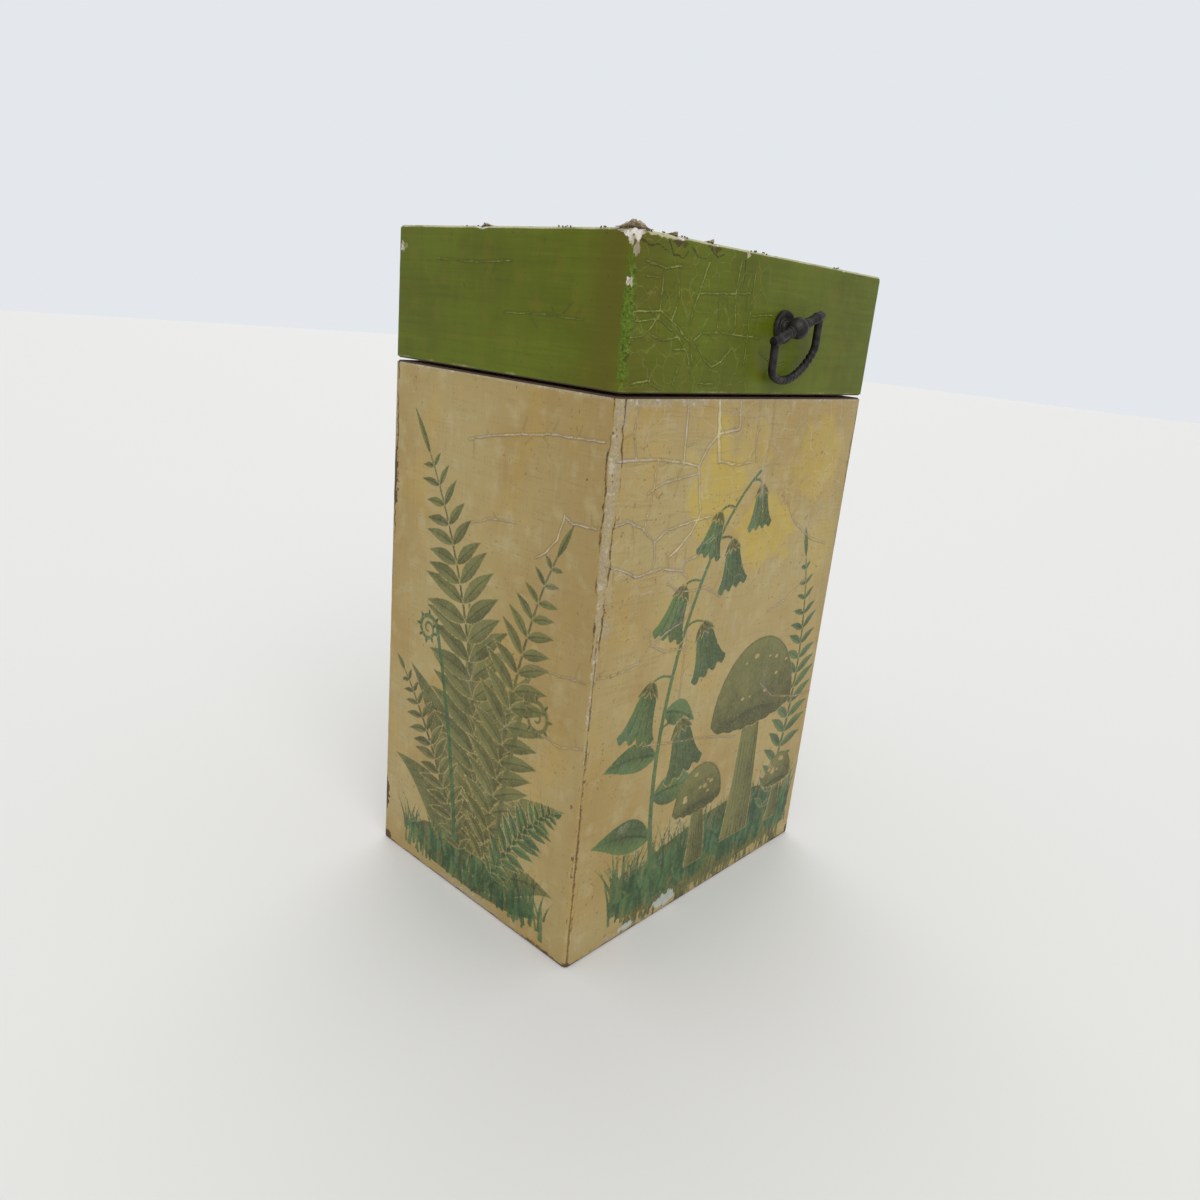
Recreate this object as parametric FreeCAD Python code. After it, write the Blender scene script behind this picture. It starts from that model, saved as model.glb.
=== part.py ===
import FreeCAD, Part
import math
import os

# A small upright keepsake box: a wooden body and a wooden lid on two butt hinges,
# both covered with glued paper, with a drop ring pull on the front of the lid.
# Millimetres. X runs along the front, Y from the front to the back, Z up.
# The origin is the centre of the face that the box stands on.

# Outside sizes, over the paper
box_width = 124.0
box_depth = 94.5
body_height = 168.5
lid_height = 38.3
lid_joint = 0.8  # the open line between the two rims

# Worn edges: rounded corners, and a break along the rims and the foot
corner_round = 2.0
rim_break = 0.8
foot_break = 0.6
lid_edge_break = 1.3

# Boards and paper
paper_thickness = 0.4
wall = 7.0
corner_lap = 3.5  # how far the front and back boards reach into the side boards
base_thickness = 4.0
base_lap = 3.4
lid_board_thickness = 5.0
lid_board_lap = 3.4
top_sheet_margin = 4.0  # turned-over edge of the lid's side papers

# Panel pins
pin_sides = 6
pin_r = 0.6
pin_head_r = 1.1
pin_fit = 0.02
corner_pin_length = 16.0
corner_pin_margin = 11.0
corner_pins_per_edge = 4
lid_corner_pin_margin = 9.5
lid_corner_pins_per_edge = 2
board_pin_length = 13.0
board_pin_spread = 56.0

# Butt hinges, let into the two back rims
hinge_inset = 29.0  # from the end of the back to the middle of a hinge
hinge_length = 25.0
leaf_reach = 5.6  # from the back of the boards towards the front
leaf_thickness = 0.8
leaf_fit = 0.1
knuckle_r = 1.5
knuckle_count = 5
knuckle_sides = 16
knuckle_gap = 0.15
barrel_clearance = 0.3
hinge_pin_r = 0.7
hinge_pin_fit = 0.05

# Hinge screws
screw_sides = 12
screw_spacing = 15.0
screw_core_r = 0.7
screw_head_r = 1.5
screw_length = 9.0
screw_slot = 0.4
screw_slot_depth = 0.4
screw_fit = 0.03

# Ring pull
pull_offset = 6.2  # to the right of the front's middle
pull_height = 19.5  # above the lid's lower edge
plate_r = 4.75
plate_thickness = 0.7
plate_rim = 0.6
plate_rim_width = 0.9
plate_rim_break = 0.2
plate_slope = 0.5  # run of the slope inside the rim
plate_sides = 32
ball_r = 3.1
ball_proud = 5.3  # from the front of the lid to the ball's centre
ball_bands = 9
neck_r = 1.5
neck_step = 0.5  # how far the foot of the neck stands out
neck_step_length = 0.6
neck_taper = 0.4
post_r = 1.25
post_chamfer = 0.3
post_sides = 24
post_fit = 0.1
washer_r = 3.2
washer_thickness = 0.6
nut_across_flats = 5.0
nut_thickness = 2.0
nut_crown = 0.35
nut_crown_run = 0.5
post_tail = 1.2  # past the nut
ring_half_width = 11.5
ring_drop = 15.2
ring_corner = 4.0
ring_stock_r = 1.25
ring_stock_sides = 12
sleeve_r = 1.45
collar_r = 1.7
collar_width = 1.7
collar_groove = 0.5
sleeve_end = 1.2  # past the middle of the ring's arm
sleeve_sides = 16
ring_pivot_r = 0.8
ring_pivot_depth = 1.7
ring_pivot_fit = 0.05
ring_side_gap = 0.15
ring_roll = 20.0  # degrees, right end up
ring_lean = 11.5  # degrees, lower end towards the lid

# Worked out from the sizes above
lid_bottom = body_height + lid_joint
lid_top = lid_bottom + lid_height
lid_wood_top = lid_top - paper_thickness
wood_width = box_width - 2 * paper_thickness
wood_depth = box_depth - 2 * paper_thickness
front_face = -box_depth / 2
back_face = box_depth / 2
back_wood = wood_depth / 2
hinge_y = back_face + barrel_clearance + knuckle_r
hinge_z = body_height + lid_joint / 2
pull_z = lid_bottom + pull_height
beyond = 5.0  # how far a cutting shape runs past what it cuts

X_AXIS = FreeCAD.Vector(1, 0, 0)
Y_AXIS = FreeCAD.Vector(0, 1, 0)
Z_AXIS = FreeCAD.Vector(0, 0, 1)


def block(low, high):
    size = [b - a for a, b in zip(low, high)]
    return Part.makeBox(size[0], size[1], size[2], FreeCAD.Vector(*low))


def centred_block(width, depth, z_low, z_high):
    return block((-width / 2, -depth / 2, z_low), (width / 2, depth / 2, z_high))


def edges_at_height(shape, height):
    found = []
    for edge in shape.Edges:
        if all(abs(v.Z - height) < 1e-6 for v in edge.Vertexes):
            found.append(edge)
    return found


def upright_edges(shape):
    found = []
    for edge in shape.Edges:
        ends = edge.Vertexes
        if abs(ends[0].X - ends[1].X) < 1e-6 and abs(ends[0].Y - ends[1].Y) < 1e-6:
            found.append(edge)
    return found


def rounded_prism(width, depth, z_low, z_high, corner):
    prism = centred_block(width, depth, z_low, z_high)
    return prism.makeFillet(corner, upright_edges(prism))


def placed(solid, base, axis):
    turn = FreeCAD.Rotation(Z_AXIS, FreeCAD.Vector(*axis))
    solid.Placement = FreeCAD.Placement(FreeCAD.Vector(*base), turn)
    return solid


def lathe(points, base, axis):
    """A solid turned from (distance along the axis, radius) points."""
    wire = Part.makePolygon([FreeCAD.Vector(r, 0, a) for a, r in points + points[:1]])
    solid = Part.Face(wire).revolve(FreeCAD.Vector(0, 0, 0), Z_AXIS, 360)
    return placed(solid, base, axis)


def polygon_ring(height, radius, sides):
    """Corners of a regular polygon whose sides lie on the given radius."""
    reach = radius / math.cos(math.pi / sides)
    corners = []
    for i in range(sides):
        angle = 2 * math.pi * (i + 0.5) / sides
        corners.append(FreeCAD.Vector(reach * math.cos(angle), reach * math.sin(angle), height))
    return corners


def flat_face(corners):
    return Part.Face(Part.makePolygon(corners + corners[:1]))


def many_sided(points, base, axis, sides):
    """The same as lathe, with flat sides. It starts flat, and ends flat or, at radius 0, in a point."""
    rings = [polygon_ring(a, r, sides) for a, r in points]
    faces = [flat_face(rings[0])]
    if points[-1][1] > 0:
        faces.append(flat_face(rings[-1]))
    for low, high in zip(rings, rings[1:]):
        for i in range(sides):
            k = (i + 1) % sides
            corners = [low[i], low[k], high[k], high[i]]
            if (high[k] - high[i]).Length < 1e-9:
                corners.pop()
            faces.append(flat_face(corners))
    solid = Part.Solid(Part.Shell(faces))
    if solid.Volume < 0:
        solid.reverse()
    return placed(solid, base, axis)


def rod(base, axis, radius, length):
    return Part.makeCylinder(radius, length, FreeCAD.Vector(*base), FreeCAD.Vector(*axis))


def joined(shapes):
    whole = shapes[0]
    for shape in shapes[1:]:
        whole = whole.fuse(shape)
    return whole.removeSplitter()


def cut_all(shape, tools):
    for tool in tools:
        shape = shape.cut(tool)
    return shape


# Worn outer forms

def body_form():
    form = rounded_prism(box_width, box_depth, 0, body_height, corner_round)
    form = form.makeChamfer(rim_break, edges_at_height(form, body_height))
    return form.makeChamfer(foot_break, edges_at_height(form, 0))


def lid_form():
    form = rounded_prism(box_width, box_depth, lid_bottom, lid_top, corner_round)
    form = form.makeChamfer(lid_edge_break, edges_at_height(form, lid_top))
    return form.makeChamfer(rim_break, edges_at_height(form, lid_bottom))


def body_wood_form():
    core = rounded_prism(wood_width, wood_depth, 0, body_height, corner_round - paper_thickness)
    return core.common(body_form())


def lid_core(z_low):
    """What the lid's papers lie on, drawn in by their thickness on every side."""
    core = rounded_prism(wood_width, wood_depth, z_low, lid_wood_top, corner_round - paper_thickness)
    inner_break = lid_edge_break - paper_thickness * (2 - math.sqrt(2))
    return core.makeChamfer(inner_break, edges_at_height(core, lid_wood_top))


def lid_wood_form():
    return lid_core(lid_bottom).common(lid_form())


# Rebated boards

def frame_blanks(z_low, z_high):
    """The four boards of a box frame: the side boards lap over the ends of the other two."""
    half_w = wood_width / 2
    half_d = wood_depth / 2
    seat = half_w - wall + corner_lap
    blanks = {}
    blanks["front"] = block((-seat, -half_d, z_low), (seat, -half_d + wall, z_high))
    blanks["back"] = block((-seat, half_d - wall, z_low), (seat, half_d, z_high))
    left = block((-half_w, -half_d, z_low), (-half_w + wall, half_d, z_high))
    right = block((half_w - wall, -half_d, z_low), (half_w, half_d, z_high))
    blanks["left"] = cut_all(left, [blanks["front"], blanks["back"]])
    blanks["right"] = cut_all(right, [blanks["front"], blanks["back"]])
    return blanks


def let_in_board(lap, z_low, z_high):
    """A flat board that sits in a rebate round the inside of the frame."""
    width = wood_width - 2 * wall + 2 * lap
    depth = wood_depth - 2 * wall + 2 * lap
    return centred_block(width, depth, z_low, z_high)


# Panel pins

def panel_pin(at, direction, length, fit=0.0):
    profile = [
        (0, pin_head_r + fit),
        (pin_head_r - pin_r, pin_r + fit),
        (length - 2 * pin_r, pin_r + fit),
        (length + fit, pin_r / 4 + fit),
    ]
    return many_sided(profile, at, direction, pin_sides)


def corner_pin_places(z_low, z_high, margin, count):
    places = []
    step = (z_high - z_low - 2 * margin) / (count - 1)
    for side in (-1, 1):
        for end in (-1, 1):
            for i in range(count):
                at = (side * wood_width / 2, end * (wood_depth / 2 - wall / 2), z_low + margin + i * step)
                places.append((at, (-side, 0, 0)))
    return places


def board_pin_places(lap, z, upward):
    y = wood_depth / 2 - wall + lap / 2
    places = []
    for end in (-1, 1):
        for side in (-1, 1):
            places.append(((side * board_pin_spread / 2, end * y, z), (0, 0, upward)))
    return places


def pins(places, length, fit=0.0):
    return [panel_pin(at, direction, length, fit) for at, direction in places]


# Hinges

def knuckle_spans(centre_x, wanted):
    """The stretches of the barrel that belong to the body leaf (0) or the lid leaf (1)."""
    pitch = hinge_length / knuckle_count
    spans = []
    for i in range(knuckle_count):
        if i % 2 == wanted:
            start = centre_x - hinge_length / 2 + i * pitch
            spans.append((start + knuckle_gap / 2, start + pitch - knuckle_gap / 2))
    return spans


def leaf_levels(on_lid):
    if on_lid:
        return lid_bottom, lid_bottom + leaf_thickness
    return body_height - leaf_thickness, body_height


def screw_places(centre_x, on_lid):
    y = back_wood - leaf_reach / 2
    z = lid_bottom if on_lid else body_height
    places = []
    for side in (-1, 1):
        places.append(((centre_x + side * screw_spacing / 2, y, z), (0, 0, 1 if on_lid else -1)))
    return places


def hinge_screw(at, direction, fit=0.0):
    cone = screw_head_r - screw_core_r
    profile = [
        (0, screw_head_r + fit),
        (cone, screw_core_r + fit),
        (screw_length - 2 * screw_core_r, screw_core_r + fit),
        (screw_length + fit, screw_core_r / 4 + fit),
    ]
    screw = many_sided(profile, at, direction, screw_sides)
    if fit:
        return screw
    x, y, z = at
    up = -direction[2] * screw_slot_depth
    slot = block(
        (x - screw_head_r - beyond, y - screw_slot / 2, min(z - up, z + up / 2)),
        (x + screw_head_r + beyond, y + screw_slot / 2, max(z - up, z + up / 2)),
    )
    return screw.cut(slot)


def barrel_length(start, stop, radius):
    profile = [(0, radius), (stop - start, radius)]
    return many_sided(profile, (start, hinge_y, hinge_z), (1, 0, 0), knuckle_sides)


def hinge_leaf(centre_x, on_lid):
    z_low, z_high = leaf_levels(on_lid)
    half = hinge_length / 2
    y_low = back_wood - leaf_reach
    pieces = [block((centre_x - half, y_low, z_low), (centre_x + half, back_face, z_high))]
    for start, stop in knuckle_spans(centre_x, 1 if on_lid else 0):
        pieces.append(block((start, back_face - leaf_thickness, z_low), (stop, hinge_y, z_high)))
        pieces.append(barrel_length(start, stop, knuckle_r))
    leaf = joined(pieces)
    bore_r = hinge_pin_r + hinge_pin_fit
    leaf = leaf.cut(barrel_length(centre_x - half - beyond, centre_x + half + beyond, bore_r))
    return cut_all(leaf, [hinge_screw(at, way, screw_fit) for at, way in screw_places(centre_x, on_lid)])


def hinge_pin(centre_x):
    corner_r = hinge_pin_r * math.cos(math.pi / knuckle_sides)
    dome = hinge_pin_r / 3
    profile = [
        (0, corner_r - dome),
        (dome, corner_r),
        (hinge_length - dome, corner_r),
        (hinge_length, corner_r - dome),
    ]
    return many_sided(profile, (centre_x - hinge_length / 2, hinge_y, hinge_z), (1, 0, 0), knuckle_sides)


def hinge_pocket(centre_x, on_lid):
    """The recess in a rim, open at the back, that a leaf lies in."""
    z_low, z_high = leaf_levels(on_lid)
    half = hinge_length / 2 + leaf_fit
    if on_lid:
        z_low -= beyond
    else:
        z_high += beyond
    return block((centre_x - half, back_wood - leaf_reach - leaf_fit, z_low),
                 (centre_x + half, back_face + beyond, z_high))


# Ring pull

def pull_point(proud):
    return (pull_offset, front_face - proud, pull_z)


def pull_backplate():
    lip = plate_thickness + plate_rim
    inside = plate_r - plate_rim_width
    profile = [
        (0, plate_r),
        (lip - plate_rim_break, plate_r),
        (lip, plate_r - plate_rim_break),
        (lip, inside),
        (plate_thickness, inside - plate_slope),
    ]
    plate = many_sided(profile, pull_point(0), (0, -1, 0), plate_sides)
    return plate.cut(rod(pull_point(-beyond), (0, -1, 0), post_r + post_fit, 2 * beyond))


def ball_profile(start_r):
    """Bands of the ball, from where it leaves the neck to its front."""
    first = math.asin(start_r / ball_r)
    points = []
    for i in range(ball_bands):
        angle = first + (math.pi - first) * i / ball_bands
        points.append((ball_proud - ball_r * math.cos(angle), ball_r * math.sin(angle)))
    return points + [(ball_proud + ball_r, 0)]


def pull_post():
    """A bolt with a ball head, drilled across for the ring, and a plain tail for the nut."""
    rail_inside = front_face + paper_thickness + wall
    tail_end = rail_inside + washer_thickness + nut_thickness + post_tail
    length = tail_end - front_face
    neck_start = plate_thickness + neck_step_length
    profile = [
        (-length, post_r - post_chamfer),
        (-length + post_chamfer, post_r),
        (plate_thickness, post_r),
        (plate_thickness, neck_r + neck_step),
        (neck_start, neck_r + neck_step),
        (neck_start + neck_taper, neck_r),
    ] + ball_profile(neck_r)
    post = many_sided(profile, pull_point(0), (0, -1, 0), post_sides)
    centre = FreeCAD.Vector(*pull_point(ball_proud))
    bar = bar_direction()
    half = ball_r + beyond
    return post.cut(Part.makeCylinder(ring_pivot_r + ring_pivot_fit, 2 * half, centre - bar * half, bar))


def pull_washer():
    y = front_face + paper_thickness + wall
    profile = [
        (0, post_r + post_fit),
        (0, washer_r),
        (washer_thickness, washer_r),
        (washer_thickness, post_r + post_fit),
    ]
    return lathe(profile, (pull_offset, y, pull_z), (0, 1, 0))


def pull_nut():
    y = front_face + paper_thickness + wall + washer_thickness
    corner = nut_across_flats / math.sqrt(3)
    points = []
    for i in range(7):
        angle = math.radians(60 * i)
        x = pull_offset + corner * math.cos(angle)
        z = pull_z + corner * math.sin(angle)
        points.append(FreeCAD.Vector(x, y, z))
    hexagon = Part.Face(Part.makePolygon(points)).extrude(Y_AXIS * nut_thickness)
    profile = [
        (0, 0),
        (0, corner),
        (nut_thickness - nut_crown, corner),
        (nut_thickness, corner - nut_crown_run),
        (nut_thickness, 0),
    ]
    nut = hexagon.common(lathe(profile, (pull_offset, y, pull_z), (0, 1, 0)))
    bore = rod((pull_offset, y - beyond, pull_z), (0, 1, 0), post_r + pin_fit, 2 * beyond + nut_thickness)
    return nut.cut(bore)


def bar_direction():
    roll = math.radians(ring_roll)
    return FreeCAD.Vector(math.cos(roll), 0, math.sin(roll))


def ring_path():
    """The stirrup's middle line: straight arms, tight corners and a round foot about the pivot."""
    inner_r = ring_drop - ring_corner
    corner_x = ring_half_width - ring_corner
    corner_z = -math.sqrt(inner_r ** 2 - corner_x ** 2)
    reach = math.hypot(corner_x, corner_z)
    foot_x = corner_x * ring_drop / reach
    foot_z = corner_z * ring_drop / reach
    turn = math.atan2(corner_z, corner_x) / 2
    mid_x = corner_x + ring_corner * math.cos(turn)
    mid_z = corner_z + ring_corner * math.sin(turn)

    def point(x, z):
        return FreeCAD.Vector(x, 0, z)

    edges = [
        Part.LineSegment(point(-ring_half_width, 0), point(-ring_half_width, corner_z)).toShape(),
        Part.Arc(point(-ring_half_width, corner_z), point(-mid_x, mid_z), point(-foot_x, foot_z)).toShape(),
        Part.Arc(point(-foot_x, foot_z), point(0, -ring_drop), point(foot_x, foot_z)).toShape(),
        Part.Arc(point(foot_x, foot_z), point(mid_x, mid_z), point(ring_half_width, corner_z)).toShape(),
        Part.LineSegment(point(ring_half_width, corner_z), point(ring_half_width, 0)).toShape(),
    ]
    return Part.Wire(edges)


def ring_sleeve(side):
    """One half of the crossbar: round pivot stub, collar, groove and sleeve with an eased end."""
    start = ball_r + ring_side_gap
    end = ring_half_width + sleeve_end
    groove = start + collar_width
    profile = [
        (start, collar_r),
        (groove, collar_r),
        (groove + collar_groove / 2, sleeve_r - collar_groove / 2),
        (groove + collar_groove, sleeve_r),
        (end - collar_groove, sleeve_r),
        (end, sleeve_r - collar_groove),
    ]
    sleeve = many_sided(profile, (0, 0, 0), (side, 0, 0), sleeve_sides)
    stub_start = ball_r - ring_pivot_depth
    stub = rod((side * stub_start, 0, 0), (side, 0, 0), ring_pivot_r, groove - stub_start)
    return joined([sleeve, stub])


def pull_ring():
    path = ring_path()
    corners = polygon_ring(0, ring_stock_r, ring_stock_sides)
    corners = [corner - X_AXIS * ring_half_width for corner in corners]
    hoop = path.makePipeShell([Part.makePolygon(corners + corners[:1])], True, False)
    ring = joined([hoop, ring_sleeve(-1), ring_sleeve(1)])
    ring.rotate(FreeCAD.Vector(0, 0, 0), X_AXIS, ring_lean)
    ring.rotate(FreeCAD.Vector(0, 0, 0), Y_AXIS, -ring_roll)
    ring.translate(FreeCAD.Vector(*pull_point(ball_proud)))
    return ring


def pull_bore():
    y = front_face - beyond
    return rod((pull_offset, y, pull_z), (0, 1, 0), post_r + post_fit, wall + paper_thickness + 2 * beyond)


# Papers

def corner_wedges(z_low, z_high):
    """Four wedges that part the corners on their diagonals, one for each face."""
    half_w = box_width / 2 + beyond
    half_d = box_depth / 2 + beyond
    run = min(box_width, box_depth) / 2
    outer = {
        "front": [(-half_w, -half_d), (half_w, -half_d)],
        "back": [(half_w, half_d), (-half_w, half_d)],
        "left": [(-half_w, half_d), (-half_w, -half_d)],
        "right": [(half_w, -half_d), (half_w, half_d)],
    }
    wedges = {}
    for name, ends in outer.items():
        points = [FreeCAD.Vector(x, y, z_low) for x, y in ends]
        for x, y in reversed(ends):
            inner_x = x - math.copysign(run, x)
            inner_y = y - math.copysign(run, y)
            points.append(FreeCAD.Vector(inner_x, inner_y, z_low))
        points.append(points[0])
        wedges[name] = Part.Face(Part.makePolygon(points)).extrude(Z_AXIS * (z_high - z_low))
    return wedges


def body_papers(openings):
    core_corner = corner_round - paper_thickness
    core = rounded_prism(wood_width, wood_depth, -beyond, body_height + beyond, core_corner)
    skin = cut_all(body_form().cut(core), openings)
    wedges = corner_wedges(-beyond, body_height + beyond)
    return {name + "_print_paper": skin.common(wedge) for name, wedge in wedges.items()}


def lid_papers(openings):
    skin = cut_all(lid_form().cut(lid_core(lid_bottom - beyond)), openings)
    inset = 2 * top_sheet_margin
    top_zone = centred_block(box_width - inset, box_depth - inset, lid_wood_top - beyond, lid_top + beyond)
    papers = {"lid_top_paper": skin.common(top_zone)}
    sides = skin.cut(top_zone)
    for name, wedge in corner_wedges(lid_bottom - beyond, lid_top + beyond).items():
        papers["lid_" + name + "_paper"] = sides.common(wedge)
    return papers


def build():
    hinge_x = box_width / 2 - hinge_inset
    hinge_xs = {"left": -hinge_x, "right": hinge_x}
    body_pockets = [hinge_pocket(x, False) for x in hinge_xs.values()]
    lid_pockets = [hinge_pocket(x, True) for x in hinge_xs.values()]
    body_screws = [place for x in hinge_xs.values() for place in screw_places(x, False)]
    lid_screws = [place for x in hinge_xs.values() for place in screw_places(x, True)]
    nodes = {}

    # Body boards
    corner_pins = corner_pin_places(0, body_height, corner_pin_margin, corner_pins_per_edge)
    base_pins = board_pin_places(base_lap, 0, 1)
    base = let_in_board(base_lap, 0, base_thickness)
    form = body_wood_form()
    tools = body_pockets + [base]
    tools += pins(corner_pins, corner_pin_length, pin_fit)
    tools += pins(base_pins, board_pin_length, pin_fit)
    tools += [hinge_screw(at, way, screw_fit) for at, way in body_screws]
    for name, blank in frame_blanks(0, body_height).items():
        nodes[name + "_board"] = cut_all(blank.common(form), tools)
    nodes["base_board"] = cut_all(base, pins(base_pins, board_pin_length, pin_fit))
    nodes["body_corner_pins"] = Part.makeCompound(pins(corner_pins, corner_pin_length))
    nodes["base_pins"] = Part.makeCompound(pins(base_pins, board_pin_length))
    nodes.update(body_papers(body_pockets))

    # Lid boards
    lid_corner_pins = corner_pin_places(lid_bottom, lid_top, lid_corner_pin_margin, lid_corner_pins_per_edge)
    lid_board_pins = board_pin_places(lid_board_lap, lid_wood_top, -1)
    lid_board = let_in_board(lid_board_lap, lid_wood_top - lid_board_thickness, lid_wood_top)
    form = lid_wood_form()
    tools = lid_pockets + [lid_board, pull_bore()]
    tools += pins(lid_corner_pins, corner_pin_length, pin_fit)
    tools += pins(lid_board_pins, board_pin_length, pin_fit)
    tools += [hinge_screw(at, way, screw_fit) for at, way in lid_screws]
    for name, blank in frame_blanks(lid_bottom, lid_wood_top).items():
        nodes["lid_" + name + "_rail"] = cut_all(blank.common(form), tools)
    nodes["lid_top_board"] = cut_all(lid_board, pins(lid_board_pins, board_pin_length, pin_fit))
    nodes["lid_corner_pins"] = Part.makeCompound(pins(lid_corner_pins, corner_pin_length))
    nodes["lid_top_pins"] = Part.makeCompound(pins(lid_board_pins, board_pin_length))
    nodes.update(lid_papers(lid_pockets + [pull_bore()]))

    # Hinges
    for name, x in hinge_xs.items():
        nodes[name + "_hinge_body_leaf"] = hinge_leaf(x, False)
        nodes[name + "_hinge_lid_leaf"] = hinge_leaf(x, True)
        nodes[name + "_hinge_pin"] = hinge_pin(x)
    nodes["body_hinge_screws"] = Part.makeCompound([hinge_screw(at, way) for at, way in body_screws])
    nodes["lid_hinge_screws"] = Part.makeCompound([hinge_screw(at, way) for at, way in lid_screws])

    # Ring pull
    nodes["pull_backplate"] = pull_backplate()
    nodes["pull_post"] = pull_post()
    nodes["pull_washer"] = pull_washer()
    nodes["pull_nut"] = pull_nut()
    nodes["pull_ring"] = pull_ring()
    return nodes


os.makedirs("parts", exist_ok=True)
for node, shape in build().items():
    if not shape.isValid() or not shape.Solids:
        raise ValueError(node + " is not a sound solid")
    shape.exportStep("parts/" + node + ".step")
    box = shape.BoundBox
    print(f"{node}: {len(shape.Solids)} solids, {shape.Volume:.1f} mm3, "
          f"X {box.XMin:.2f} {box.XMax:.2f} Y {box.YMin:.2f} {box.YMax:.2f} Z {box.ZMin:.2f} {box.ZMax:.2f}")
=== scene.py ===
import math

import bmesh
import bpy
import numpy as np
from mathutils import Matrix, Vector


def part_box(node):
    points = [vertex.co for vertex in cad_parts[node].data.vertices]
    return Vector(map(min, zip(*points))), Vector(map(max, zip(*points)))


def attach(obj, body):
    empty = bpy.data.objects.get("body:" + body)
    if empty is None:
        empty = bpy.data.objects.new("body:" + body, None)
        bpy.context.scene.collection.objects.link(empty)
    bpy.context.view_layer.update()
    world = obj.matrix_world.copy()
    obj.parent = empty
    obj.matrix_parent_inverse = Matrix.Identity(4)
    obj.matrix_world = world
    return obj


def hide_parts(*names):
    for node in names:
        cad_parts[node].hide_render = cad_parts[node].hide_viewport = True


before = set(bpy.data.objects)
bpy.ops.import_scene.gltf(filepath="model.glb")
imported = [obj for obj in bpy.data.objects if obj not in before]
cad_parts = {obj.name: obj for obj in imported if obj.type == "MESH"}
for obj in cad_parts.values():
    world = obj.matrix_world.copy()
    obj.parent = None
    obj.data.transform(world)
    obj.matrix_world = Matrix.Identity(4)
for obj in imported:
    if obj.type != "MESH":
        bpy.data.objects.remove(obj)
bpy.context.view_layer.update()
mm = 0.001
print("frame loaded:", len(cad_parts), "nodes")

# the whole box: sizes in millimetres; colours everywhere are as they look on screen, 0 to 255
boxLook = {
    "width": 124.0,
    "depth": 94.5,
    "bodyTop": 168.5,
    "lidFoot": 169.7,
    "lidTop": 207.6,
    "cornerRound": 2.0,
    "paperDepth": 0.38,
    "rimRound": 0.55,
    "footRound": 0.6,
    "lidEdgeRound": 1.3,
    "lidTurnOver": 4.0,
    "seamWidth": 2.2,
}


# numbers and curves
def bend(points, count=24):
    # a smooth curve pulled towards its points, ends included
    t = np.linspace(0, 1, count)[:, None]
    layers = [np.array(p, float)[None, :].repeat(count, 0) for p in points]
    while len(layers) > 1:
        layers = [a * (1 - t) + b * t for a, b in zip(layers, layers[1:])]
    return layers[0]


def softNoise(x, y, size, seed):
    # rolling value noise, 0 to 1
    lattice = np.random.default_rng(seed).random((89, 89))
    gx, gy = np.broadcast_arrays(x / size, y / size)
    ix, iy = np.floor(gx).astype(int), np.floor(gy).astype(int)
    fx, fy = gx - ix, gy - iy
    fx, fy = fx * fx * (3 - 2 * fx), fy * fy * (3 - 2 * fy)

    def row(j):
        return lattice[ix % 89, j % 89] * (1 - fx) + lattice[(ix + 1) % 89, j % 89] * fx

    return row(iy) * (1 - fy) + row(iy + 1) * fy


def roughNoise(x, y, size, seed):
    return (softNoise(x, y, size, seed) + softNoise(x, y, size / 2.3, seed + 1) * 0.5
            + softNoise(x, y, size / 5.1, seed + 2) * 0.25) / 1.75


def ease(value, low, high):
    t = np.clip((value - low) / (high - low), 0, 1)
    return t * t * (3 - 2 * t)


def nearLine(u, v, a, b):
    # how far along the line each point lies, 0 to 1, and how far off it
    run = b - a
    t = np.clip(((u - a[0]) * run[0] + (v - a[1]) * run[1]) / max(run @ run, 1e-9), 0, 1)
    return t, np.hypot(u - a[0] - run[0] * t, v - a[1] - run[1] * t)


def roughLine(points, rng, jitter=0.11, step=1.8):
    points = np.array(points, float)
    made = [points[0]]
    for a, b in zip(points, points[1:]):
        count = max(1, int(np.hypot(*(b - a)) / step))
        for k in range(1, count + 1):
            made.append(a + (b - a) * k / count + (rng.normal(0, jitter, 2) if k < count else 0))
    return np.array(made)


# meshes, made from points in millimetres
def newMesh(name, points, faces, sharpAngle, mendNormals=False):
    mesh = bpy.data.meshes.new(name)
    mesh.from_pydata((points * mm).tolist(), [], faces)
    mesh.validate()
    if mendNormals:
        form = bmesh.new()
        form.from_mesh(mesh)
        bmesh.ops.recalc_face_normals(form, faces=form.faces)
        form.to_mesh(mesh)
        form.free()
    mesh.polygons.foreach_set("use_smooth", np.ones(len(mesh.polygons), bool))
    mesh.set_sharp_from_angle(angle=math.radians(sharpAngle))
    return mesh


def joined(parts):
    points, faces, start = [], [], 0
    for more, cells in parts:
        points.append(np.array(more))
        faces += [[i + start for i in cell] for cell in cells]
        start += len(more)
    return np.concatenate(points), faces


def placed(name, data):
    thing = bpy.data.objects.new(name, data)
    bpy.context.scene.collection.objects.link(thing)
    return thing


def addPiece(name, mesh, finishName, body, node=None):
    if not mesh.materials:
        mesh.materials.append(finishes[finishName])
    piece = placed(name, mesh)
    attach(piece, body)
    if node:
        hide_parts(node)


def gridCells(ids):
    return np.stack([ids[:-1, :-1], ids[:-1, 1:], ids[1:, 1:], ids[1:, :-1]], -1)


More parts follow.
